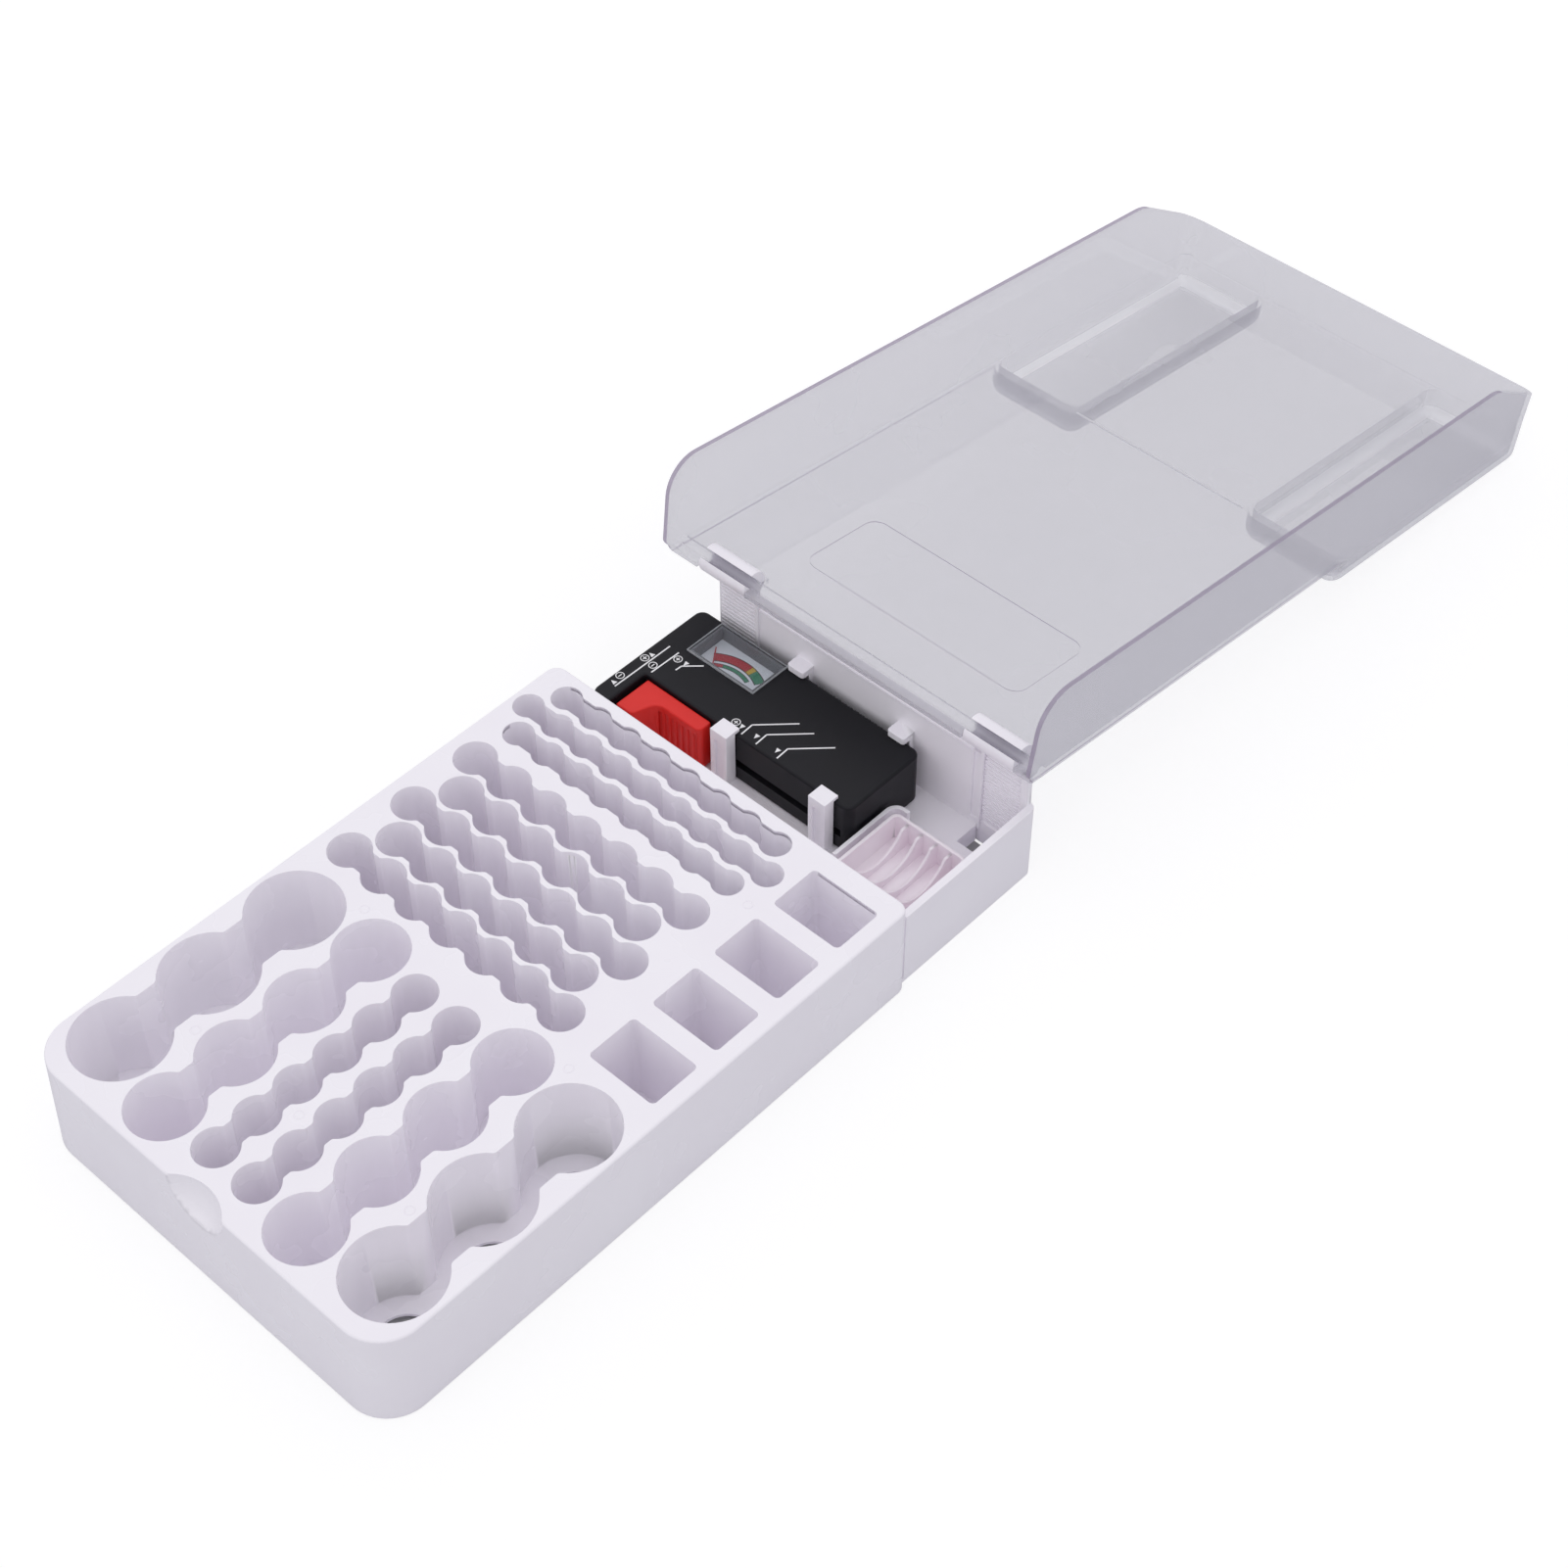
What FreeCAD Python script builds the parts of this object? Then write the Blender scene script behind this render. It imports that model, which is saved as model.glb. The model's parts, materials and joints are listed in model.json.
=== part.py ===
import FreeCAD, Part
import math
import os
from FreeCAD import Vector

# Battery storage case: a lift-out battery tray and a slide-in battery tester on one base,
# under a clear lid that swings right over the back.  Millimetres, +Z up.
# While it is built, X = 0 is the middle, Y = 0 the tray's front face and Z = 0 the table.
# At the end everything moves along Y, so that the origin is under the middle of the open case.

# ---- driving dimensions -------------------------------------------------------------------
WALL = 2.0                  # general wall of the white mouldings
SEAT_GAP = 0.3              # clearance between separate pieces
OVER = 1.0                  # how far a cutting tool runs past the face it cuts

# wells: width across, step from one to the next, width of the neck between them
D_WELL, D_PITCH, D_NECK, D_COUNT = 36.0, 38.2, 20.4, 3
C_WELL, C_PITCH, C_NECK, C_COUNT = 28.1, 30.0, 14.8, 4
AA_WELL, AA_PITCH, AA_NECK, AA_COUNT = 16.62, 17.36, 9.4, 6
AA_CROSS_PITCH, AA_ROW_STEP, AA_ROWS = 17.8, 15.13, (7, 6, 7, 6, 7)
AAA_WELL, AAA_PITCH, AAA_NECK = 12.04, 15.08, 8.4
AAA_ROW_STEP, AAA_ROWS = 12.3, (8, 9, 8)
BLOCK_WIDTH, BLOCK_LENGTH, BLOCK_CORNER, BLOCK_COUNT = 30.3, 21.5, 2.0, 4
WELL_WALL = 1.3
D_LEDGE = 7.2               # the large wells have a ring for a floor, this wide
AA_COLUMN_X = 10.2
AA_TO_C, C_TO_D, D_TO_SIDE = 2.54, 0.85, 2.2            # material left between wells
D_TO_FRONT, C_TO_FRONT, AA_TO_FRONT = 6.5, 2.85, 9.39
D_TO_CROSS, CROSS_TO_AAA, AAA_TO_BACK = 5.09, 4.85, 4.28
CROSS_TO_SIDE, AAA_TO_SIDE, BLOCK_TO_SIDE = 5.09, 2.46, 6.45
BLOCK_GAP, BLOCK_BEHIND_CROSS = 8.47, 4.3

TRAY_TOP = 43.0
TRAY_SKIRT_Z = 0.4          # the skirt stops just above the table
TRAY_FRONT_CORNER = 16.5
TRAY_BACK_CORNER = 5.0
TRAY_FRONT_LEAN = 2.1       # how far the front face leans out from its top to the table
TRAY_EDGE = 1.0             # rounding of the tray's top edge
SCOOP_HALF_WIDTH = 14.0
SCOOP_DEPTH = 6.0

PAN_FLOOR = 1.6
BAY_GAP = 0.5               # between the tray's back and the raised bay
BAY_LENGTH = 71.5
BAY_FLOOR = 8.75
SIDE_WALL_TOP = 35.5
SIDE_LIP, SIDE_LIP_HEIGHT = 1.0, 3.0
BACK_WALL_TOP = 51.4
BACK_WALL = 2.5
BACK_WALL_INSET = 14.9      # the bay is open to the left of the back wall, where the tester goes in
BACK_PANEL_DEPTH = 0.8
BACK_PANEL_MARGIN = 3.0
PORT_SIZE = 11.2            # square hole in the bay's floor
PORT_INSET = 19.4
PORT_WALL = 1.2
POST_WIDTH, POST_DEPTH = 8.2, 5.0
POST_FLUTE = 1.2            # depth of the flute in each post's front
POST_INSETS = (51.9, 11.25)             # from the tester's left end, and from its right end
REAR_HOOK_INSETS = (50.9, 11.2)
HOOK_REACH = 2.4            # how far a hook reaches over the tester's edge
HOOK_THICK = 3.0
HOOK_EDGE = 1.2
HOOK_RIB_GAP = 1.3          # between the tester and the rib under each rear hook

HINGE_INSET = 3.2           # in front of the back wall's rear face
HINGE_RISE = 7.5            # above the back wall
LID_OPEN_TILT = 7.78        # degrees below level when the lid lies open
ROD_RADIUS = 2.26
ROD_CLEARANCE = 0.1
CLIP_RADIUS = 5.8
CLIP_MOUTH = 4.4
CLIP_MOUTH_ANGLE = 53.0     # degrees above level, towards the front
CLIP_WIDTH = 23.4
LEFT_CLIP_INSET, RIGHT_CLIP_INSET = 11.4, 5.7
CLIP_SIDE_GAP = 0.6
NOTCH_REACH = 7.4

LID_SIDE_GAP = 2.9          # from the tray's side to the lid's outer face
LID_FRONT_GAP = 8.3         # from the tray's front to the lid's outer face
LID_DRAFT = 1.0             # how much each side leans in from rim to plate
LID_WALL = 1.8
LID_PLATE = 2.2
LID_EDGE = 2.0              # rounding of the plate's outer edges
LID_RIM = 38.4              # depth of the side rim below the plate
LID_FRONT_RIM = 18.3
LID_RAMP_LENGTH, LID_RAMP_BEND = 41.0, 20.0
LID_TAIL = 9.6              # how far the sides reach behind the hinge
LID_TAIL_HEEL = 3.0
LID_STRIP = 6.4             # how far the plate reaches behind the hinge
LID_BEVEL = 1.5
LID_BACK_RADIUS = 14.5
LID_CORNER = 9.0
LOBE_BEHIND_WELLS = 10.8    # the deep pockets start this far behind the large wells
LOBE_BESIDE_WELLS = 7.4
LOBE_DEPTH = 12.5
LOBE_RADIUS = 7.0
LOBE_INSET = 0.3
LABEL_X, LABEL_U, LABEL_CORNER, LABEL_RECESS = (-49.4, 56.1), (25.7, 67.4), 6.0, 0.3

TESTER_INSET = 9.6          # from the base's left face
TESTER_LENGTH, TESTER_DEPTH, TESTER_HEIGHT = 112.5, 40.1, 23.95
TESTER_REAR_GAP = 3.7
TESTER_WALL = 2.0
TESTER_CORNER = 4.0
TESTER_EDGE = 1.2
ARM_WIDTH = 8.9
ARM_TO_BAY = 4.6            # from the bay's front to the arm's front
ARM_CORNER, ARM_ROOT = 1.5, 1.0
RAIL_RISE, RAIL_HEIGHT, RAIL_DEPTH = 7.15, 3.6, 2.6
RAIL_WALL = 1.5
RAIL_END = 4.0              # solid left at the right end of the rail
TEETH, TOOTH_PITCH, TOOTH_WIDTH, TOOTH_DEPTH = 12, 3.0, 1.5, 0.7
TEETH_X = -16.0
METER_INSET, METER_WIDTH, METER_DEPTH = 12.6, 33.2, 18.3
METER_TO_BACK = 1.9
METER_WALL = 1.0
METER_FIT = 0.1
METER_UNDER_SEAM = 3.0
METER_PIVOT_SETBACK = 7.5   # the pivot lies this far in front of the window
METER_BODY_REACH = 8.0
WINDOW_RIM, WINDOW_THICK, WINDOW_LIFT, WINDOW_EDGE = 0.6, 1.0, 0.2, 0.4
DIAL_DROP = 6.1             # the dial lies this far under the tester's top
DIAL_THICK = 0.5
DIAL_FOOT = 2.0
NEEDLE_LENGTH, NEEDLE_TAIL, NEEDLE_THICK = 24.0, 4.0, 0.4
NEEDLE_HALF, NEEDLE_TAIL_HALF, NEEDLE_HUB, NEEDLE_HUB_THICK = 0.22, 0.5, 1.4, 0.5
NEEDLE_LIFT = 0.3
NEEDLE_REST_ANGLE = 125.5   # degrees from +X at rest
MAGNET_RADIUS, MAGNET_HEIGHT, MAGNET_RING = 6.5, 3.2, 2.4
COIL_HALF_LENGTH, COIL_HALF_WIDTH, COIL_HEIGHT, COIL_WIRE, COIL_LIFT = 3.2, 1.4, 3.7, 0.8, 0.5
SPINDLE_RADIUS, SPINDLE_RISE = 0.4, 2.2
BRIDGE_HALF, BRIDGE_WIDTH, BRIDGE_THICK, BRIDGE_RISE = 10.0, 3.0, 0.8, 1.4
SPRING_RADIUS, SPRING_STEP, SPRING_BAND, SPRING_TURNS = 0.9, 0.18, 0.1, 9
SPRING_THICK, SPRING_DROP = 0.3, 1.5
SLIDER_TO_ARM, SLIDER_WIDTH = 1.7, 33.1
SLIDER_UNDER_TOP, SLIDER_OVER_FLOOR = 1.7, 1.45
SLIDER_HEAD_SETBACK, SLIDER_HEAD_WIDTH = 3.0, 8.0
SLIDER_GRIP_REACH = 7.0     # from the tester's front face
SLIDER_SHOULDER, SLIDER_SWEEP, SLIDER_ROUND, SLIDER_EDGE = 3.5, 6.0, 2.5, 0.8
GRIP_GROOVES, GRIP_PITCH, GRIP_RADIUS, GRIP_START, GRIP_TOP = 7, 3.0, 0.9, 5.0, 3.0
TONGUE_INSET, TONGUE_FIT = 4.0, 0.15
CONTACT_THICK, CONTACT_HALF = 0.5, 5.0
CONTACT_FRONT_MARGIN, CONTACT_BACK_MARGIN, ARM_CONTACT_MARGIN = 3.0, 4.0, 5.0
STUD_RADIUS, STUD_HEIGHT, STUD_SPACING, STUD_SETBACK, STUD_RISE = 2.0, 0.8, 13.0, 13.3, 15.25
STRIP_MARGIN, STRIP_INSET = 1.0, 0.8

HOLDER_INSET, HOLDER_TO_TESTER = 9.2, 5.7
HOLDER_TO_BAY, HOLDER_LENGTH, HOLDER_HEIGHT = 8.6, 36.3, 12.65
HOLDER_WALL, HOLDER_CORNER = 1.4, 3.0
HOLDER_RIBS, HOLDER_END, HOLDER_RIB, HOLDER_RIB_DROP = 4, 5.65, 1.2, 1.0
CRADLE_GAP, CRADLE_RISE = 1.5, 6.5
FENCE_GAP, FENCE_TOP, FENCE_WALL, FENCE_CORNER = 4.5, 19.8, 1.6, 5.0
FENCE_FRONT_SETBACK, FENCE_BACK_REACH, FENCE_RETURN = 6.4, 4.6, 3.0

RESISTORS = ((2.2, 12.0), (3.0, 16.0))                  # radius and length
RESISTOR_GAP, RESISTOR_INSET, RESISTOR_SETBACK = 8.0, 56.3, 17.7
BOARD_THICK, BOARD_HEIGHT, BOARD_SETBACK = 1.6, 8.0, 9.1
BOARD_INSET, BOARD_TO_BOSS = 52.3, 0.9
SCREW_RADIUS, SCREW_LENGTH = 0.9, 17.0
SCREW_HEAD, SCREW_HEAD_HEIGHT, SCREW_SINK, SCREW_GAP = 2.2, 1.6, 0.4, 0.3
SCREW_BOSS, SCREW_INSET = 3.3, 8.0

# ---- values that follow -------------------------------------------------------------------
C_COLUMN_X = AA_COLUMN_X + (AA_WELL + C_WELL) / 2 + AA_TO_C
D_COLUMN_X = C_COLUMN_X + (C_WELL + D_WELL) / 2 + C_TO_D
TRAY_HALF = D_COLUMN_X + D_WELL / 2 + D_TO_SIDE
D_FIRST_Y = D_TO_FRONT + D_WELL / 2
C_FIRST_Y = C_TO_FRONT + C_WELL / 2
AA_FIRST_Y = AA_TO_FRONT + AA_WELL / 2
D_BACK = D_FIRST_Y + (D_COUNT - 1) * D_PITCH + D_WELL / 2
CROSS_Y = D_BACK + D_TO_CROSS + AA_WELL / 2
CROSS_X = -TRAY_HALF + CROSS_TO_SIDE + AA_WELL / 2 + (max(AA_ROWS) - 1) * AA_CROSS_PITCH / 2
AAA_Y = CROSS_Y + (len(AA_ROWS) - 1) * AA_ROW_STEP + (AA_WELL + AAA_WELL) / 2 + CROSS_TO_AAA
AAA_X = -TRAY_HALF + AAA_TO_SIDE + AAA_WELL / 2 + (max(AAA_ROWS) - 1) * AAA_PITCH / 2
TRAY_LENGTH = AAA_Y + (len(AAA_ROWS) - 1) * AAA_ROW_STEP + AAA_WELL / 2 + AAA_TO_BACK
BLOCK_X = TRAY_HALF - BLOCK_TO_SIDE - BLOCK_WIDTH / 2
BLOCK_Y = CROSS_Y + BLOCK_BEHIND_CROSS
BLOCK_PITCH = BLOCK_LENGTH + BLOCK_GAP
DECK_UNDER = TRAY_TOP - WALL
WELL_FLOOR = PAN_FLOOR + WELL_WALL

BASE_HALF = TRAY_HALF - WALL - SEAT_GAP
BAY_FRONT = TRAY_LENGTH + BAY_GAP
BASE_BACK = BAY_FRONT + BAY_LENGTH
BACK_WALL_FACE = BASE_BACK - BACK_WALL
PORT_X = BASE_HALF - PORT_INSET
HINGE_Y, HINGE_Z = BASE_BACK - HINGE_INSET, BACK_WALL_TOP + HINGE_RISE
CLIPS = ((-BASE_HALF + LEFT_CLIP_INSET, -BASE_HALF + LEFT_CLIP_INSET + CLIP_WIDTH),
         (BASE_HALF - RIGHT_CLIP_INSET - CLIP_WIDTH, BASE_HALF - RIGHT_CLIP_INSET))

LID_HALF_WIDTH = TRAY_HALF + LID_SIDE_GAP
LID_LENGTH = HINGE_Y + LID_FRONT_GAP
LOBE_START = HINGE_Y - D_BACK - LOBE_BEHIND_WELLS
LOBE_INNER_X = D_COLUMN_X - D_WELL / 2 - LOBE_BESIDE_WELLS

TESTER_LEFT = -BASE_HALF + TESTER_INSET
TESTER_RIGHT = TESTER_LEFT + TESTER_LENGTH
TESTER_BACK = BACK_WALL_FACE - TESTER_REAR_GAP
TESTER_FRONT = TESTER_BACK - TESTER_DEPTH
TESTER_TOP = BAY_FLOOR + TESTER_HEIGHT
TESTER_SEAM = BAY_FLOOR + TESTER_HEIGHT / 2
CLEAR_Z = TESTER_TOP + SEAT_GAP
ARM_FRONT = BAY_FRONT + ARM_TO_BAY
ARM_RIGHT = TESTER_LEFT + ARM_WIDTH
RAIL_Z = BAY_FLOOR + RAIL_RISE
METER_X = (TESTER_LEFT + METER_INSET, TESTER_LEFT + METER_INSET + METER_WIDTH)
METER_Y = (TESTER_BACK - METER_TO_BACK - METER_DEPTH, TESTER_BACK - METER_TO_BACK)
METER_FLOOR = TESTER_SEAM - METER_UNDER_SEAM
METER_LEDGE = METER_FLOOR + METER_WALL
METER_PIVOT = ((METER_X[0] + METER_X[1]) / 2, METER_Y[0] - METER_PIVOT_SETBACK)
DIAL_Z = TESTER_TOP - DIAL_DROP
SLIDER_LEFT = ARM_RIGHT + SLIDER_TO_ARM
SLIDER_RIGHT = SLIDER_LEFT + SLIDER_WIDTH
SLIDER_TOP, SLIDER_BOTTOM = TESTER_TOP - SLIDER_UNDER_TOP, BAY_FLOOR + SLIDER_OVER_FLOOR
SLIDER_HEAD_FRONT = ARM_FRONT + SLIDER_HEAD_SETBACK
SLIDER_GRIP_FRONT = TESTER_FRONT - SLIDER_GRIP_REACH
POST_X = (TESTER_LEFT + POST_INSETS[0], TESTER_RIGHT - POST_INSETS[1])
REAR_HOOK_X = (TESTER_LEFT + REAR_HOOK_INSETS[0], TESTER_RIGHT - REAR_HOOK_INSETS[1])
BOARD_X = (TESTER_LEFT + BOARD_INSET, TESTER_RIGHT - SCREW_INSET - SCREW_BOSS - BOARD_TO_BOSS)
SCREW_PLACES = ((TESTER_LEFT + SCREW_INSET, TESTER_BACK - SCREW_INSET),
                (TESTER_RIGHT - SCREW_INSET, TESTER_BACK - SCREW_INSET),
                (TESTER_RIGHT - SCREW_INSET, TESTER_FRONT + SCREW_INSET))

HOLDER_X = (TESTER_RIGHT + HOLDER_TO_TESTER, BASE_HALF - HOLDER_INSET)
HOLDER_PITCH = (HOLDER_X[1] - HOLDER_X[0] - 2 * HOLDER_WALL - 2 * HOLDER_END) / (HOLDER_RIBS - 1)
HOLDER_Y = (BAY_FRONT + HOLDER_TO_BAY, BAY_FRONT + HOLDER_TO_BAY + HOLDER_LENGTH)
HOLDER_TOP = BAY_FLOOR + HOLDER_HEIGHT
FENCE_X = HOLDER_X[0] - FENCE_GAP


# ---- drawing helpers ----------------------------------------------------------------------
def box(x0, x1, y0, y1, z0, z1):
    return Part.makeBox(x1 - x0, y1 - y0, z1 - z0, Vector(x0, y0, z0))


def rod(radius, x, y, z0, z1):
    return Part.makeCylinder(radius, z1 - z0, Vector(x, y, z0))


def cylinder_x(radius, x0, x1, y, z):
    return Part.makeCylinder(radius, x1 - x0, Vector(x0, y, z), Vector(1, 0, 0))


def rounded_wire(points, radii):
    """A closed outline in the XY plane whose corners are tangent arcs."""
    corners = [Vector(x, y, 0) for x, y in points]
    count = len(corners)
    starts, ends, arcs = [], [], []
    for i, corner in enumerate(corners):
        back = (corners[i - 1] - corner).normalize()
        ahead = (corners[(i + 1) % count] - corner).normalize()
        half = back.getAngle(ahead) / 2
        radius = radii[i]
        if radius == 0:
            starts.append(corner)
            ends.append(corner)
            arcs.append(None)
            continue
        reach = radius / math.tan(half)
        bisector = (back + ahead).normalize()
        centre = corner + bisector * (radius / math.sin(half))
        starts.append(corner + back * reach)
        ends.append(corner + ahead * reach)
        arcs.append(Part.Arc(starts[i], centre - bisector * radius, ends[i]).toShape())
    edges = []
    for i in range(count):
        if arcs[i]:
            edges.append(arcs[i])
        following = starts[(i + 1) % count]
        if ends[i].distanceToPoint(following) > 1e-6:
            edges.append(Part.makeLine(ends[i], following))
    return Part.Wire(edges)


def rectangle(x0, x1, y0, y1, radii):
    """radii: front left, front right, back right, back left."""
    return rounded_wire(((x0, y0), (x1, y0), (x1, y1), (x0, y1)), radii)


def extrude(wire, z0, z1):
    solid = Part.Face(wire).extrude(Vector(0, 0, z1 - z0))
    solid.translate(Vector(0, 0, z0))
    return solid


def extrude_x(points_yz, radii, x0, x1):
    """A rounded outline given as (y, z), drawn out along X."""
    solid = extrude(rounded_wire(points_yz, radii), 0, x1 - x0)
    solid.rotate(Vector(0, 0, 0), Vector(0, 0, 1), 90)
    solid.rotate(Vector(0, 0, 0), Vector(0, 1, 0), 90)
    solid.translate(Vector(x0, 0, 0))
    return solid


def fuse(shapes):
    first, rest = shapes[0], shapes[1:]
    return first.fuse(rest) if rest else first


def level_edges(solid, z):
    """Edges that lie wholly at height z."""
    found = []
    for edge in solid.Edges:
        low, high = edge.BoundBox.ZMin, edge.BoundBox.ZMax
        if abs(low - z) < 1e-4 and abs(high - z) < 1e-4:
            found.append(edge)
    return found


# ---- battery tray -------------------------------------------------------------------------
# The tray is one moulding.  Its deck and skirt are one solid and the wells that hang under the
# deck are others, by the size of cell that they hold.
def scallop_wire(count, pitch, radius, neck, cusp):
    """Round wells in a row along +X from the origin, joined by straight necks.

    Each neck meets its wells in rounded cusps."""
    rise = math.sqrt((radius + cusp) ** 2 - (neck + cusp) ** 2)
    on_well = radius / (radius + cusp)
    edges = []

    def bend(start, middle, end):
        edges.append(Part.Arc(Vector(*start, 0), Vector(*middle, 0), Vector(*end, 0)).toShape())

    def cusp_arc(x, side, way):
        """From the well at x, on the side y = +-1, towards way = +-1 along X."""
        centre = (x + way * rise, side * (neck + cusp))
        on_circle = (x + way * rise * on_well, side * (neck + cusp) * on_well)
        on_neck = (x + way * rise, side * neck)
        angle_1 = math.atan2(on_circle[1] - centre[1], on_circle[0] - centre[0])
        angle_2 = math.atan2(on_neck[1] - centre[1], on_neck[0] - centre[0])
        turn = (angle_2 - angle_1 + math.pi) % (2 * math.pi) - math.pi
        mid = angle_1 + turn / 2
        middle = (centre[0] + cusp * math.cos(mid), centre[1] + cusp * math.sin(mid))
        return on_circle, middle, on_neck

    last = (count - 1) * pitch
    for side, order in ((-1, range(count)), (1, range(count - 1, -1, -1))):
        way = -side
        for i in order:
            x = i * pitch
            is_end = x == (last if way > 0 else 0)
            if is_end:
                near = cusp_arc(x, side, -way)[0]
                far = cusp_arc(x, -side, -way)[0]
                bend(near, (x + way * radius, 0), far)
                continue
            if 0 < x < last:
                bend(cusp_arc(x, side, -way)[0], (x, side * radius), cusp_arc(x, side, way)[0])
            on_circle, middle, on_neck = cusp_arc(x, side, way)
            bend(on_circle, middle, on_neck)
            on_circle, middle, other_neck = cusp_arc(x + way * pitch, side, -way)
            edges.append(Part.makeLine(Vector(*on_neck, 0), Vector(*other_neck, 0)))
            bend(other_neck, middle, on_circle)
    return Part.Wire(Part.sortEdges(edges)[0])


class Channel:
    """One row of wells: where it starts, which way it runs and how large its cells are."""

    def __init__(self, x, y, along_y, count, pitch, well, neck):
        self.place = Vector(x, y, 0)
        self.along_y = along_y
        self.count, self.pitch = count, pitch
        self.radius, self.neck = well / 2, neck / 2
        self.cusp = WELL_WALL + 0.02 * well

    def prism(self, grow, z0, z1):
        wire = scallop_wire(self.count, self.pitch, self.radius + grow, self.neck + grow, self.cusp - grow)
        solid = extrude(wire, z0, z1)
        if self.along_y:
            solid.rotate(Vector(0, 0, 0), Vector(0, 0, 1), 90)
        solid.translate(self.place)
        return solid

    def centres(self):
        step = Vector(0, self.pitch, 0) if self.along_y else Vector(self.pitch, 0, 0)
        return [self.place + step * i for i in range(self.count)]


class Pocket:
    """A rectangular pocket for a nine volt block."""

    def __init__(self, y):
        self.y = y

    def prism(self, grow, z0, z1):
        half_x, half_y = BLOCK_WIDTH / 2 + grow, BLOCK_LENGTH / 2 + grow
        outline = rectangle(BLOCK_X - half_x, BLOCK_X + half_x, self.y - half_y, self.y + half_y,
                            (BLOCK_CORNER + grow,) * 4)
        return extrude(outline, z0, z1)


def columns(x, y, count, pitch, well, neck):
    """The same row of wells on both sides of the middle."""
    return [Channel(side * x, y, True, count, pitch, well, neck) for side in (-1, 1)]


def cross_rows(x, y, counts, pitch, step, well, neck):
    """Rows across the tray, centred on x, that lock into one another."""
    return [Channel(x - (count - 1) * pitch / 2, y + row * step, False, count, pitch, well, neck)
            for row, count in enumerate(counts)]


def well_groups():
    return {
        "d_cell_wells": columns(D_COLUMN_X, D_FIRST_Y, D_COUNT, D_PITCH, D_WELL, D_NECK),
        "c_cell_wells": columns(C_COLUMN_X, C_FIRST_Y, C_COUNT, C_PITCH, C_WELL, C_NECK),
        "aa_cell_wells": columns(AA_COLUMN_X, AA_FIRST_Y, AA_COUNT, AA_PITCH, AA_WELL, AA_NECK),
        "aa_cross_wells": cross_rows(CROSS_X, CROSS_Y, AA_ROWS, AA_CROSS_PITCH, AA_ROW_STEP,
                                     AA_WELL, AA_NECK),
        "aaa_cell_wells": cross_rows(AAA_X, AAA_Y, AAA_ROWS, AAA_PITCH, AAA_ROW_STEP, AAA_WELL, AAA_NECK),
        "block_cell_wells": [Pocket(BLOCK_Y + i * BLOCK_PITCH) for i in range(BLOCK_COUNT)],
    }


def front_lean(z):
    return TRAY_FRONT_LEAN * (TRAY_TOP - z) / TRAY_TOP


def tray_block(inset, z0, z1):
    """The tray's outline, whose front face leans out towards the table."""
    half = TRAY_HALF - inset
    radii = [r - inset for r in (TRAY_FRONT_CORNER, TRAY_FRONT_CORNER, TRAY_BACK_CORNER, TRAY_BACK_CORNER)]
    wires = []
    for z in (z0, z1):
        wire = rectangle(-half, half, inset - front_lean(z), TRAY_LENGTH - inset, radii)
        wire.translate(Vector(0, 0, z))
        wires.append(wire)
    return Part.makeLoft(wires, True, True)


def scoop_ball(extra):
    """The ball that presses the thumb scoop into the front edge."""
    set_back = (SCOOP_HALF_WIDTH ** 2 - SCOOP_DEPTH ** 2) / (2 * SCOOP_DEPTH)
    return Part.makeSphere(set_back + SCOOP_DEPTH + extra, Vector(0, -set_back, TRAY_TOP))


def ring_floor_holes(wells, radius, z0, z1):
    return [rod(radius, centre.x, centre.y, z0, z1) for well in wells for centre in well.centres()]


def tray_pieces():
    groups = well_groups()
    large = groups["d_cell_wells"]
    every = [well for wells in groups.values() for well in wells]
    cavities = [well.prism(0, WELL_FLOOR, TRAY_TOP + OVER) for well in every]
    cavities += ring_floor_holes(large, D_WELL / 2 - D_LEDGE, 0, WELL_FLOOR + OVER)

    outside = tray_block(0, TRAY_SKIRT_Z, TRAY_TOP)
    outside = outside.makeFillet(TRAY_EDGE, level_edges(outside, TRAY_TOP))
    hollow = tray_block(WALL, 0, DECK_UNDER)
    over_pan = box(-TRAY_HALF + WALL, TRAY_HALF - WALL, TRAY_LENGTH - TRAY_BACK_CORNER, TRAY_LENGTH + OVER,
                   0, PAN_FLOOR)
    deck = outside.cut([hollow, over_pan]).fuse(scoop_ball(WALL).common(outside))
    pieces = {"battery_tray": deck.cut(cavities + [scoop_ball(0)])}

    taken = [scoop_ball(WALL)]
    for name, wells in groups.items():
        outers = [well.prism(WELL_WALL, PAN_FLOOR, DECK_UNDER) for well in wells]
        pieces[name] = fuse(outers).common(hollow).cut(cavities + taken).removeSplitter()
        if name in ("d_cell_wells", "c_cell_wells"):
            taken += outers
    return pieces


# ---- base ---------------------------------------------------------------------------------
def hinge_clip(x0, x1):
    """A split ring on a neck, which the lid's rod snaps into."""
    ring = cylinder_x(CLIP_RADIUS, x0, x1, HINGE_Y, HINGE_Z)
    neck = box(x0, x1, BACK_WALL_FACE, BASE_BACK, BACK_WALL_TOP - OVER, HINGE_Z)
    bore = cylinder_x(ROD_RADIUS + ROD_CLEARANCE, x0 - OVER, x1 + OVER, HINGE_Y, HINGE_Z)
    mouth = box(x0 - OVER, x1 + OVER, -2 * CLIP_RADIUS, 0, -CLIP_MOUTH / 2, CLIP_MOUTH / 2)
    mouth.rotate(Vector(0, 0, 0), Vector(1, 0, 0), -CLIP_MOUTH_ANGLE)
    mouth.translate(Vector(0, HINGE_Y, HINGE_Z))
    return ring.fuse(neck).cut([bore, mouth])


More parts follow.
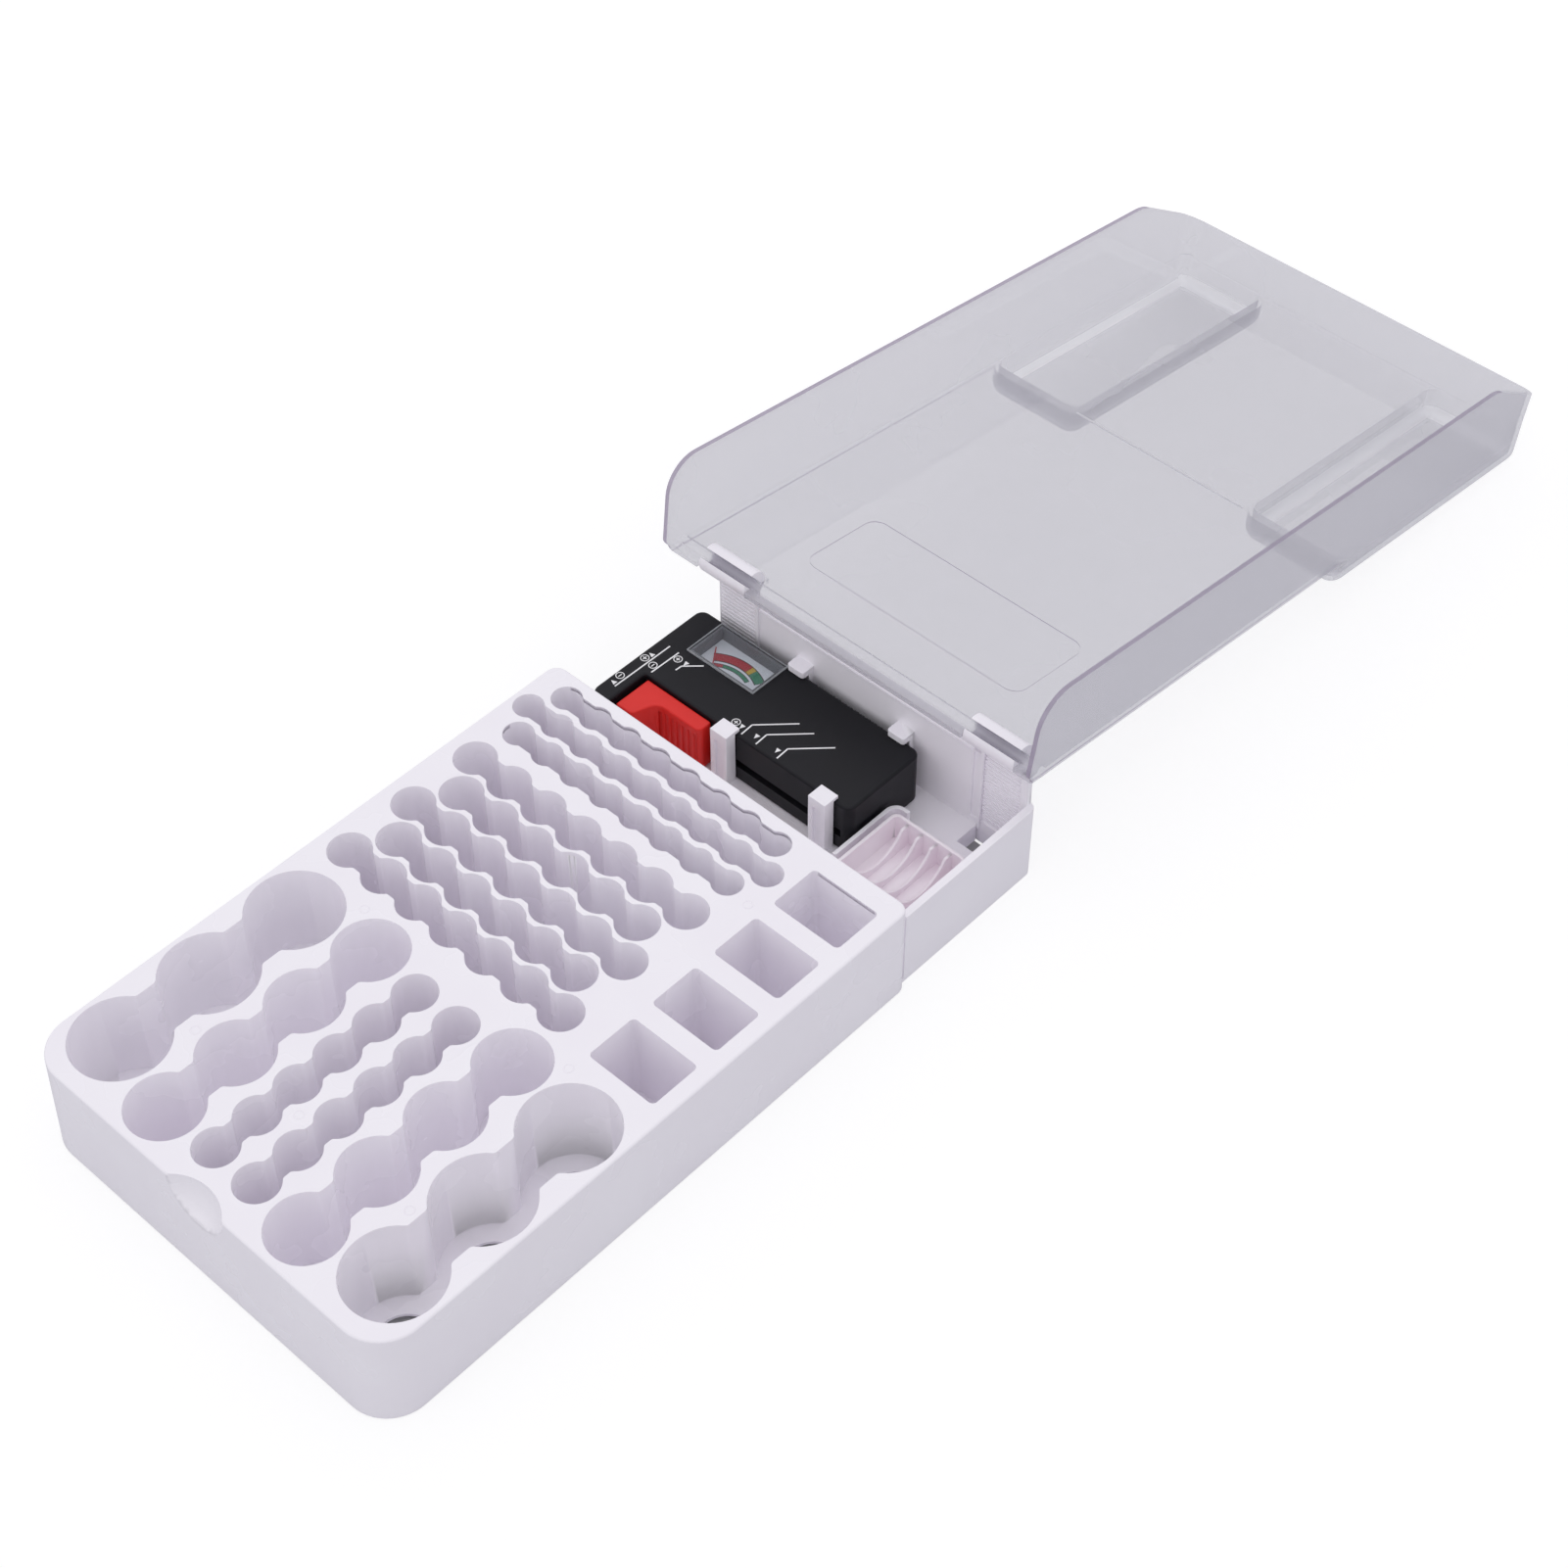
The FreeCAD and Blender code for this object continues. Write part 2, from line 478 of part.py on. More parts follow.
def front_post(x):
    """A post with a nose that holds down the tester's front edge."""
    back = TESTER_FRONT - SEAT_GAP
    front = back - POST_DEPTH
    half = POST_WIDTH / 2
    nose_top = CLEAR_Z + HOOK_THICK / 2
    post = box(x - half, x + half, front, back, BAY_FLOOR - OVER, nose_top)
    nose = box(x - half, x + half, back, back + HOOK_REACH, CLEAR_Z, nose_top)
    flute = box(x - half / 2, x + half / 2, front - OVER, front + POST_FLUTE, BAY_FLOOR, CLEAR_Z - HOOK_THICK)
    return post.fuse(nose).cut(flute)


def rear_hook(x):
    """A shelf on the back wall that holds down the tester's rear edge, on a rib."""
    half = POST_WIDTH / 2
    tip = TESTER_BACK - HOOK_REACH
    shelf = box(x - half, x + half, tip, BACK_WALL_FACE + OVER, CLEAR_Z, CLEAR_Z + HOOK_THICK)
    front_edges = [e for e in shelf.Edges if abs(e.BoundBox.YMax - tip) < 1e-6
                   and e.BoundBox.ZLength > HOOK_THICK / 2]
    shelf = shelf.makeFillet(HOOK_EDGE, front_edges)
    rib = box(x - half, x + half, TESTER_BACK + HOOK_RIB_GAP, BACK_WALL_FACE + OVER,
              BAY_FLOOR - OVER, CLEAR_Z + OVER)
    return shelf.fuse(rib)


def cell_fence():
    """A low wall round two sides of the button-cell holder."""
    front, back = HOLDER_Y[0] + FENCE_FRONT_SETBACK, HOLDER_Y[1] + FENCE_BACK_REACH
    right = HOLDER_X[0] + FENCE_RETURN
    outer = rectangle(FENCE_X, right, front, back, (0, 0, 0, FENCE_CORNER))
    inner = rectangle(FENCE_X + FENCE_WALL, right + OVER, front - OVER, back - FENCE_WALL,
                      (0, 0, 0, FENCE_CORNER - FENCE_WALL))
    return extrude(outer, BAY_FLOOR - OVER, FENCE_TOP).cut(extrude(inner, 0, FENCE_TOP + OVER))


def pan():
    """The floor that the tray sits on, open under the ring floors of the large wells."""
    corner = TRAY_FRONT_CORNER - WALL - SEAT_GAP
    front = WALL + SEAT_GAP - front_lean(PAN_FLOOR)
    plate = extrude(rectangle(-BASE_HALF, BASE_HALF, front, BAY_FRONT + OVER, (corner, corner, 0, 0)),
                    0, PAN_FLOOR)
    large = columns(D_COLUMN_X, D_FIRST_Y, D_COUNT, D_PITCH, D_WELL, D_NECK)
    return plate.cut(ring_floor_holes(large, D_WELL / 2 - D_LEDGE / 2, -OVER, PAN_FLOOR + OVER))


def base():
    corner = TRAY_BACK_CORNER - WALL
    block = extrude(rectangle(-BASE_HALF, BASE_HALF, BAY_FRONT, BASE_BACK, (0, 0, corner, corner)),
                    0, BAY_FLOOR)
    under = box(-BASE_HALF + WALL, BASE_HALF - WALL, BAY_FRONT + WALL, BASE_BACK - WALL,
                -OVER, BAY_FLOOR - WALL)
    side = box(BASE_HALF - WALL, BASE_HALF, BAY_FRONT, BASE_BACK - corner, 0, SIDE_WALL_TOP)
    side_lip = box(BASE_HALF - WALL - SIDE_LIP, BASE_HALF - WALL, BAY_FRONT, BACK_WALL_FACE,
                   SIDE_WALL_TOP - SIDE_LIP_HEIGHT, SIDE_WALL_TOP)
    post = extrude(rectangle(BASE_HALF - 2 * corner, BASE_HALF, BASE_BACK - 2 * corner, BASE_BACK,
                             (0, 0, corner, 0)), BAY_FLOOR - OVER, SIDE_WALL_TOP)
    post = post.cut(box(BASE_HALF - 3 * corner, BASE_HALF - WALL, BASE_BACK - 3 * corner, BACK_WALL_FACE,
                        BAY_FLOOR, SIDE_WALL_TOP + OVER))
    back = box(-BASE_HALF + BACK_WALL_INSET, BASE_HALF - corner, BACK_WALL_FACE, BASE_BACK,
               BAY_FLOOR - OVER, BACK_WALL_TOP)
    ribs = [box(x - WALL / 2, x + WALL / 2, BAY_FRONT, BASE_BACK - OVER, 0, BAY_FLOOR - OVER)
            for x in (-BASE_HALF / 3, BASE_HALF / 3)]
    half = PORT_SIZE / 2
    y = BACK_WALL_FACE - half
    sleeve = box(PORT_X - half - PORT_WALL, PORT_X + half + PORT_WALL, y - half - PORT_WALL,
                 BACK_WALL_FACE, 0, BAY_FLOOR - OVER)
    port = box(PORT_X - half, PORT_X + half, y - half, y + half, -OVER, BAY_FLOOR + OVER)
    panels = [box(x0 + CLIP_SIDE_GAP, x1 - CLIP_SIDE_GAP, BACK_WALL_FACE - OVER,
                  BACK_WALL_FACE + BACK_PANEL_DEPTH, BAY_FLOOR + BACK_PANEL_MARGIN,
                  BACK_WALL_TOP - BACK_PANEL_MARGIN) for x0, x1 in CLIPS]
    body = block.cut(under).fuse([pan(), side, side_lip, post, back, sleeve, cell_fence()] + ribs
                                 + [front_post(x) for x in POST_X]
                                 + [rear_hook(x) for x in REAR_HOOK_X])
    body = body.cut([port] + panels)
    return body.fuse([hinge_clip(x0, x1) for x0, x1 in CLIPS]).removeSplitter()


# ---- lid ----------------------------------------------------------------------------------
# The lid is drawn in its own axes: Y is U, away from the hinge, and Z is W, towards the outside
# of the plate, whose inner face is W = 0.  It turns half round Y to lie open, so what is not
# symmetric is drawn with X reversed.
def lid_block(inset, u0, u1, depth, plate):
    """A rounded block whose sides lean in from the rim to the plate."""
    corner = LID_CORNER - inset

    def outline(half, w):
        wire = rectangle(-half, half, u0, u1, (0, 0, corner, corner))
        wire.translate(Vector(0, 0, w))
        return wire
    half = LID_HALF_WIDTH - inset
    return Part.makeLoft([outline(half, -depth), outline(half - LID_DRAFT, plate)], True, True)


def lid_side_profile(x0, x1):
    """What is left of the sides: the rounded tail, the level rim and the ramp to the front."""
    top = LID_PLATE + LOBE_DEPTH + OVER
    points = ((-LID_TAIL, -LID_RIM), (LID_LENGTH - LID_RAMP_LENGTH, -LID_RIM),
              (LID_LENGTH + OVER, -LID_FRONT_RIM), (LID_LENGTH + OVER, top),
              (-LID_STRIP + LID_BEVEL, top), (-LID_STRIP, LID_PLATE - LID_BEVEL),
              (-LID_TAIL, -LID_TAIL_HEEL))
    radii = (LID_BACK_RADIUS, LID_RAMP_BEND, 0, 0, 0, LID_EDGE, 2 * LID_EDGE)
    return extrude_x(points, radii, x0, x1)


def lobe(side, inset):
    """One deep pocket over a column of large cells, with rounded edges all over."""
    inner, outer = LOBE_INNER_X + inset, LID_HALF_WIDTH - LID_DRAFT - LOBE_INSET - inset
    x0, x1 = sorted((side * inner, side * outer))
    depth = LID_PLATE + LOBE_DEPTH - inset
    block = box(x0, x1, LOBE_START + inset, LID_LENGTH - LOBE_INSET - inset, -LOBE_RADIUS, depth)
    edges = [e for e in block.Edges if e.BoundBox.ZMin > depth - 1e-3 or e.BoundBox.ZLength > depth]
    return block.makeFillet(LOBE_RADIUS - inset, edges)


def lid():
    outer = lid_block(0, -LID_TAIL, LID_LENGTH, LID_RIM, LID_PLATE)
    bottom_edges = [e for e in level_edges(outer, LID_PLATE)
                    if e.BoundBox.YLength > LID_TAIL or e.BoundBox.YMin > LID_LENGTH / 2]
    outer = outer.makeFillet(LID_EDGE, bottom_edges)
    inner = lid_block(LID_WALL, -LID_TAIL - OVER, LID_LENGTH - LID_WALL, LID_RIM + OVER, 0)
    lobes = [lobe(side, 0) for side in (-1, 1)]
    above_plate = box(-LID_HALF_WIDTH, LID_HALF_WIDTH, 0, LID_LENGTH, -LID_EDGE, LID_PLATE + LOBE_DEPTH)
    pockets = [lobe(side, LID_WALL).common(above_plate) for side in (-1, 1)]
    shell = outer.fuse(lobes).cut([inner] + pockets)
    shell = shell.common(lid_side_profile(-LID_HALF_WIDTH - OVER, LID_HALF_WIDTH + OVER))

    # back edge: the plate stops a little behind the hinge line, and opens round the two clips
    half = LID_HALF_WIDTH - LID_DRAFT
    trims = [extrude(rectangle(-LABEL_X[1], -LABEL_X[0], LABEL_U[0], LABEL_U[1], (LABEL_CORNER,) * 4),
                     -OVER, LABEL_RECESS)]
    trims.append(box(-half + LID_WALL, half - LID_WALL, -LID_TAIL - OVER, -LID_STRIP,
                     -OVER, LID_PLATE + OVER))
    for x0, x1 in CLIPS:
        trims.append(box(-x1 - CLIP_SIDE_GAP, -x0 + CLIP_SIDE_GAP, -LID_TAIL - OVER, NOTCH_REACH,
                         -2 * ROD_RADIUS, LID_PLATE + OVER))
    hinge_rod = cylinder_x(ROD_RADIUS, -half + LID_WALL / 2, half - LID_WALL / 2, 0, 0)
    shell = shell.cut(trims).fuse(hinge_rod).removeSplitter()

    # lay it open behind the hinge, W downwards, then tilt it
    shell.rotate(Vector(0, 0, 0), Vector(0, 1, 0), 180)
    shell.rotate(Vector(0, 0, 0), Vector(1, 0, 0), -LID_OPEN_TILT)
    shell.translate(Vector(0, HINGE_Y, HINGE_Z))
    return shell


# ---- button-cell holder -------------------------------------------------------------------
def flat_cell_holder():
    """A cup with concave ribs, which keep rows of button cells apart."""
    (x0, x1), (y0, y1) = HOLDER_X, HOLDER_Y
    floor = BAY_FLOOR + HOLDER_WALL
    outer = extrude(rectangle(x0, x1, y0, y1, (HOLDER_CORNER,) * 4), BAY_FLOOR, HOLDER_TOP)
    inner = extrude(rectangle(x0 + HOLDER_WALL, x1 - HOLDER_WALL, y0 + HOLDER_WALL, y1 - HOLDER_WALL,
                              (HOLDER_CORNER - HOLDER_WALL,) * 4), floor, HOLDER_TOP + OVER)
    cradle = cylinder_x((y1 - y0) / 2 - HOLDER_WALL - CRADLE_GAP, x0 - OVER, x1 + OVER,
                        (y0 + y1) / 2, HOLDER_TOP + CRADLE_RISE)
    middle = (x0 + x1) / 2
    ribs = []
    for i in range(HOLDER_RIBS):
        x = middle + (i - (HOLDER_RIBS - 1) / 2) * HOLDER_PITCH
        rib = box(x - HOLDER_RIB / 2, x + HOLDER_RIB / 2, y0 + HOLDER_WALL / 2, y1 - HOLDER_WALL / 2,
                  floor - HOLDER_WALL / 2, HOLDER_TOP - HOLDER_RIB_DROP)
        ribs.append(rib.cut(cradle))
    return outer.cut(inner).fuse(ribs).removeSplitter()


# ---- battery tester -----------------------------------------------------------------------
def tester_outline(inset):
    """The body's plan: a long block with an arm at its left end that reaches forward."""
    left, right = TESTER_LEFT + inset, TESTER_RIGHT - inset
    front, back = TESTER_FRONT + inset, TESTER_BACK - inset
    corner = TESTER_CORNER - inset
    points = ((left, ARM_FRONT + inset), (ARM_RIGHT - inset, ARM_FRONT + inset),
              (ARM_RIGHT - inset, front), (right, front), (right, back), (left, back))
    return rounded_wire(points, (corner, ARM_CORNER - inset / 2, ARM_ROOT, corner, corner, corner))


def rail_slot():
    """The groove along the front face that the slider's tongue runs in."""
    return box(ARM_RIGHT, TESTER_RIGHT - RAIL_END, TESTER_FRONT - OVER, TESTER_FRONT + RAIL_DEPTH,
               RAIL_Z, RAIL_Z + RAIL_HEIGHT)


def tester_bottom_shell():
    outer = extrude(tester_outline(0), BAY_FLOOR, TESTER_SEAM)
    outer = outer.makeFillet(TESTER_EDGE, level_edges(outer, BAY_FLOOR))
    inner = extrude(tester_outline(TESTER_WALL), BAY_FLOOR + TESTER_WALL, TESTER_SEAM + OVER)
    trough = box(ARM_RIGHT - TESTER_WALL, TESTER_RIGHT - RAIL_END + TESTER_WALL, TESTER_FRONT + OVER,
                 TESTER_FRONT + RAIL_DEPTH + RAIL_WALL, RAIL_Z - RAIL_WALL, TESTER_SEAM)
    bosses = [rod(SCREW_BOSS, x, y, BAY_FLOOR + TESTER_WALL / 2, TESTER_SEAM) for x, y in SCREW_PLACES]
    holes = [rod(SCREW_RADIUS + SCREW_GAP, x, y, 0, TESTER_TOP) for x, y in SCREW_PLACES]
    heads = [rod(SCREW_HEAD + SCREW_GAP, x, y, 0, BAY_FLOOR + SCREW_SINK + SCREW_HEAD_HEIGHT)
             for x, y in SCREW_PLACES]
    shell = outer.cut(inner).fuse([trough.common(outer)] + bosses)
    return shell.cut([rail_slot()] + holes + heads).removeSplitter()


def tester_top_shell():
    outer = extrude(tester_outline(0), TESTER_SEAM, TESTER_TOP)
    outer = outer.makeFillet(TESTER_EDGE, level_edges(outer, TESTER_TOP))
    inner = extrude(tester_outline(TESTER_WALL), TESTER_SEAM - OVER, TESTER_TOP - TESTER_WALL)
    bosses = [rod(SCREW_BOSS, x, y, TESTER_SEAM, TESTER_TOP - TESTER_WALL / 2) for x, y in SCREW_PLACES]
    screw_low = BAY_FLOOR + SCREW_SINK
    pilots = [rod(SCREW_RADIUS, x, y, screw_low, screw_low + SCREW_LENGTH) for x, y in SCREW_PLACES]
    window = box(*METER_X, *METER_Y, TESTER_SEAM, TESTER_TOP + OVER)
    teeth = []
    for i in range(TEETH):
        x = TEETH_X + i * TOOTH_PITCH
        teeth.append(box(x, x + TOOTH_WIDTH, TESTER_BACK - TOOTH_DEPTH, TESTER_BACK + OVER,
                         TESTER_SEAM + TESTER_WALL, TESTER_TOP + OVER))
    return outer.cut(inner).fuse(bosses).cut(pilots + [window] + teeth).removeSplitter()


def meter_box(inset, front, z0, z1):
    (x0, x1), back = METER_X, METER_Y[1]
    return box(x0 + inset, x1 - inset, front + inset, back - inset, z0, z1)


def meter_housing():
    """The open-topped cup of the meter, which also carries the movement under the top."""
    front = METER_PIVOT[1] - METER_BODY_REACH
    under = TESTER_TOP - TESTER_WALL - SEAT_GAP
    neck = meter_box(METER_FIT, METER_Y[0], METER_FLOOR, TESTER_TOP + WINDOW_LIFT)
    body = meter_box(METER_FIT, front, METER_FLOOR, under)
    neck_hole = meter_box(METER_WALL, METER_Y[0], METER_LEDGE, TESTER_TOP + OVER)
    body_hole = meter_box(METER_WALL, front, METER_LEDGE, under - METER_WALL)
    return neck.fuse(body).cut([neck_hole, body_hole]).removeSplitter()


def meter_window():
    low = TESTER_TOP + WINDOW_LIFT
    plate = meter_box(-WINDOW_RIM, METER_Y[0], low, low + WINDOW_THICK)
    return plate.makeFillet(WINDOW_EDGE, level_edges(plate, low + WINDOW_THICK))


def dial_plate():
    """The printed scale on its four feet."""
    fit = METER_WALL + METER_FIT
    x0, x1 = METER_X[0] + fit, METER_X[1] - fit
    front, back = METER_PIVOT[1] + MAGNET_RADIUS + RAIL_WALL, METER_Y[1] - fit
    plate = box(x0, x1, front, back, DIAL_Z, DIAL_Z + DIAL_THICK)
    feet = [box(x, x + DIAL_FOOT, y, y + DIAL_FOOT, METER_LEDGE, DIAL_Z)
            for x in (x0, x1 - DIAL_FOOT) for y in (front, back - DIAL_FOOT)]
    return plate.fuse(feet)


def meter_magnet():
    """Ring magnet round the coil."""
    top = METER_LEDGE + MAGNET_HEIGHT
    ring = rod(MAGNET_RADIUS, *METER_PIVOT, METER_LEDGE, top)
    return ring.cut(rod(MAGNET_RADIUS - MAGNET_RING, *METER_PIVOT, METER_LEDGE, top))


def moving_coil():
    """The wound frame that turns inside the magnet, on its spindle."""
    x, y = METER_PIVOT
    low = METER_LEDGE + COIL_LIFT
    high = low + COIL_HEIGHT
    inside = COIL_HALF_LENGTH - OVER
    frame = box(x - COIL_HALF_LENGTH, x + COIL_HALF_LENGTH, y - COIL_HALF_WIDTH, y + COIL_HALF_WIDTH, low, high)
    gap = box(x - inside, x + inside, y - COIL_HALF_WIDTH - OVER, y + COIL_HALF_WIDTH + OVER,
              low + COIL_WIRE, high - COIL_WIRE)
    return frame.cut(gap).fuse(rod(SPINDLE_RADIUS, x, y, METER_LEDGE, DIAL_Z + SPINDLE_RISE))


def meter_bridge():
    """The brass strap above the movement that holds the spindle's upper pivot."""
    x, y = METER_PIVOT
    y0, y1 = y - BRIDGE_WIDTH / 2, y + BRIDGE_WIDTH / 2
    low = DIAL_Z + BRIDGE_RISE
    strap = box(x - BRIDGE_HALF, x + BRIDGE_HALF, y0, y1, low, low + BRIDGE_THICK)
    legs = [box(a, a + BRIDGE_THICK, y0, y1, METER_LEDGE, low)
            for a in (x - BRIDGE_HALF, x + BRIDGE_HALF - BRIDGE_THICK)]
    pivot_hole = rod(SPINDLE_RADIUS + METER_FIT, x, y, low - OVER, low + BRIDGE_THICK + OVER)
    return strap.fuse(legs).cut(pivot_hole)


def meter_needle():
    x, y = METER_PIVOT
    z = DIAL_Z + DIAL_THICK + NEEDLE_LIFT
    hub = rod(NEEDLE_HUB, x, y, z, z + NEEDLE_HUB_THICK)
    blade = box(x, x + NEEDLE_LENGTH, y - NEEDLE_HALF, y + NEEDLE_HALF, z, z + NEEDLE_THICK)
    tail = box(x - NEEDLE_TAIL, x, y - NEEDLE_TAIL_HALF, y + NEEDLE_TAIL_HALF, z, z + NEEDLE_THICK)
    needle = hub.fuse([blade, tail])
    needle.rotate(Vector(x, y, 0), Vector(0, 0, 1), NEEDLE_REST_ANGLE)
    return needle.cut(rod(SPINDLE_RADIUS, x, y, z - OVER, z + OVER))


def hair_spring():
    """Flat spiral, of half turns about two centres, that brings the needle back."""
    def spiral(extra):
        edges = []
        for turn in range(SPRING_TURNS):
            side = 1 if turn % 2 == 0 else -1
            centre = 0 if turn % 2 == 0 else SPRING_STEP
            radius = SPRING_RADIUS + turn * SPRING_STEP + extra
            ends = [Vector(centre + side * radius, 0, 0), Vector(centre - side * radius, 0, 0)]
            edges.append(Part.Arc(ends[0], Vector(centre, side * radius, 0), ends[1]).toShape())
        return edges

    inside, outside = spiral(0), spiral(SPRING_BAND)
    caps = [Part.makeLine(inside[0].firstVertex().Point, outside[0].firstVertex().Point),
            Part.makeLine(inside[-1].lastVertex().Point, outside[-1].lastVertex().Point)]
    strip = extrude(Part.Wire(Part.sortEdges(inside + outside + caps)[0]), 0, SPRING_THICK)
    collet = rod(SPRING_RADIUS + SPRING_BAND / 2, 0, 0, 0, SPRING_THICK)
    spring = strip.fuse(collet.cut(rod(SPINDLE_RADIUS, 0, 0, 0, SPRING_THICK)))
    spring.translate(Vector(*METER_PIVOT, DIAL_Z - SPRING_DROP))
    return spring


def slider_plan():
    head = SLIDER_LEFT + SLIDER_HEAD_WIDTH
    back = TESTER_FRONT - SEAT_GAP
    step = SLIDER_GRIP_FRONT - SLIDER_HEAD_FRONT
    sweep = min(SLIDER_SWEEP, 0.5 * step)
    points = ((SLIDER_LEFT, SLIDER_HEAD_FRONT), (head, SLIDER_HEAD_FRONT),
              (head + SLIDER_SHOULDER, SLIDER_GRIP_FRONT), (SLIDER_RIGHT, SLIDER_GRIP_FRONT),
              (SLIDER_RIGHT, back), (SLIDER_LEFT, back))
    radii = (SLIDER_EDGE, min(SLIDER_ROUND, 0.4 * step), sweep, SLIDER_ROUND, SLIDER_EDGE, SLIDER_EDGE)
    return rounded_wire(points, radii)


def tester_slider():
    """The red slide: a contact head, a ribbed thumb grip and a tongue in the body's rail."""
    block = extrude(slider_plan(), SLIDER_BOTTOM, SLIDER_TOP)
    block = block.makeFillet(SLIDER_EDGE, level_edges(block, SLIDER_TOP))
    tongue = box(SLIDER_LEFT + TONGUE_INSET, SLIDER_RIGHT - TONGUE_INSET, TESTER_FRONT - SEAT_GAP - OVER,
                 TESTER_FRONT + RAIL_DEPTH - SEAT_GAP, RAIL_Z + TONGUE_FIT, RAIL_Z + RAIL_HEIGHT - TONGUE_FIT)
    first = SLIDER_LEFT + SLIDER_HEAD_WIDTH + GRIP_START
    grooves = [rod(GRIP_RADIUS, first + i * GRIP_PITCH, SLIDER_GRIP_FRONT, SLIDER_BOTTOM - OVER,
                   SLIDER_TOP - GRIP_TOP) for i in range(GRIP_GROOVES)]
    return block.fuse(tongue).cut(grooves).removeSplitter()


def contact_plate(x, front, back):
    middle = (SLIDER_TOP + SLIDER_BOTTOM) / 2
    return box(x, x + CONTACT_THICK, front, back, middle - CONTACT_HALF, middle + CONTACT_HALF)


def slider_contact():
    """Spring-metal plate on the slide's contact face."""
    return contact_plate(SLIDER_LEFT - CONTACT_THICK, SLIDER_HEAD_FRONT + CONTACT_FRONT_MARGIN,
                         TESTER_FRONT - CONTACT_BACK_MARGIN)


def arm_contact():
    """Fixed plate on the arm, which takes the cell's other end."""
    return contact_plate(ARM_RIGHT, ARM_FRONT + ARM_CONTACT_MARGIN, TESTER_FRONT - CONTACT_FRONT_MARGIN)


def block_cell_contacts():
    """Two studs on the left end for a nine volt block."""
    first = ARM_FRONT + STUD_SETBACK
    return Part.Compound([cylinder_x(STUD_RADIUS, TESTER_LEFT - STUD_HEIGHT, TESTER_LEFT, y,
                                     BAY_FLOOR + STUD_RISE) for y in (first, first + STUD_SPACING)])


def rail_strip():
    """Nickel strip at the bottom of the rail that carries the slide's current."""
    back = TESTER_FRONT + RAIL_DEPTH
    return box(ARM_RIGHT + STRIP_MARGIN, TESTER_RIGHT - RAIL_END - STRIP_MARGIN, back - SEAT_GAP / 2, back,
               RAIL_Z + STRIP_INSET, RAIL_Z + RAIL_HEIGHT - STRIP_INSET)


def load_resistors():
    """Two resistors that load the cell under test, lying on the bottom shell."""
    bodies = []
    x = TESTER_LEFT + RESISTOR_INSET
    for radius, length in RESISTORS:
        bodies.append(cylinder_x(radius, x, x + length, TESTER_BACK - RESISTOR_SETBACK,
                                 BAY_FLOOR + TESTER_WALL + radius))
        x += length + RESISTOR_GAP
    return Part.Compound(bodies)


def terminal_board():
    """Small board that the leads are soldered to, on edge behind the resistors."""
    low, back = BAY_FLOOR + TESTER_WALL, TESTER_BACK - BOARD_SETBACK
    return box(*BOARD_X, back - BOARD_THICK, back, low, low + BOARD_HEIGHT)


def tester_screws():
    bodies = []
    low = BAY_FLOOR + SCREW_SINK
    for x, y in SCREW_PLACES:
        head = rod(SCREW_HEAD, x, y, low, low + SCREW_HEAD_HEIGHT)
        bodies.append(head.fuse(rod(SCREW_RADIUS, x, y, low, low + SCREW_LENGTH)))
    return Part.Compound(bodies)


# ---- build --------------------------------------------------------------------------------
def main():
    parts = {"base": base()}
    parts.update(tray_pieces())
    for piece in (lid, flat_cell_holder, tester_top_shell, tester_bottom_shell, meter_housing, meter_window,
                  dial_plate, meter_magnet, moving_coil, meter_bridge, meter_needle, hair_spring,
                  tester_slider, slider_contact, arm_contact, block_cell_contacts, rail_strip,
                  load_resistors, terminal_board, tester_screws):
        parts[piece.__name__] = piece()
    whole = Part.Compound(list(parts.values())).optimalBoundingBox(False)
    shift = Vector(0, -(whole.YMin + whole.YMax) / 2, 0)
    print("shift along Y", round(shift.y, 4), "box", whole)
    os.makedirs("parts", exist_ok=True)
    for name, shape in parts.items():
        shape.translate(shift)
        print(name, len(shape.Solids), "solids, volume", round(shape.Volume, 1), shape.isValid())
        shape.exportStep("parts/" + name + ".step")


main()
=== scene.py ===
import json
import math

import bmesh
import bpy
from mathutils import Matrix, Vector

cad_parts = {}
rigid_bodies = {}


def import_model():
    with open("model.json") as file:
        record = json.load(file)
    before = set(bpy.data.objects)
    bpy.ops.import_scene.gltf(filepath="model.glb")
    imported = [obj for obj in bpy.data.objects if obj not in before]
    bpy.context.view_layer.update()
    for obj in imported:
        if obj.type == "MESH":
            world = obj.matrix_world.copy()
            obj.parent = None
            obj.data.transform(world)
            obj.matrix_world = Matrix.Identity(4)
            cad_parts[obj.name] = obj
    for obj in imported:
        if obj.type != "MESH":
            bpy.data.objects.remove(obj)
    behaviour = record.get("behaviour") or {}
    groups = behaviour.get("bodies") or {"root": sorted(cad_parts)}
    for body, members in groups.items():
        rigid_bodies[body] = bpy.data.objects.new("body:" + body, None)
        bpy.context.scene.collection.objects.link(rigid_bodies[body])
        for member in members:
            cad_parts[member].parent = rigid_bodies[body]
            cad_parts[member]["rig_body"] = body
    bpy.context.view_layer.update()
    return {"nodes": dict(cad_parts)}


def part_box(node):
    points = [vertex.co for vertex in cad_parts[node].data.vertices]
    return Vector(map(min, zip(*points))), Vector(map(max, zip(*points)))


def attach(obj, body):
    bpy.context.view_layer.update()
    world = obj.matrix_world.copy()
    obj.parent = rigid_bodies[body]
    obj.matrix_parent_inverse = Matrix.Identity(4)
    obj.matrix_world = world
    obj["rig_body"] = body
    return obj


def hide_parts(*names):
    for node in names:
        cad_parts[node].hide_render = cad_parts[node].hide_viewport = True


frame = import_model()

MM = 0.001

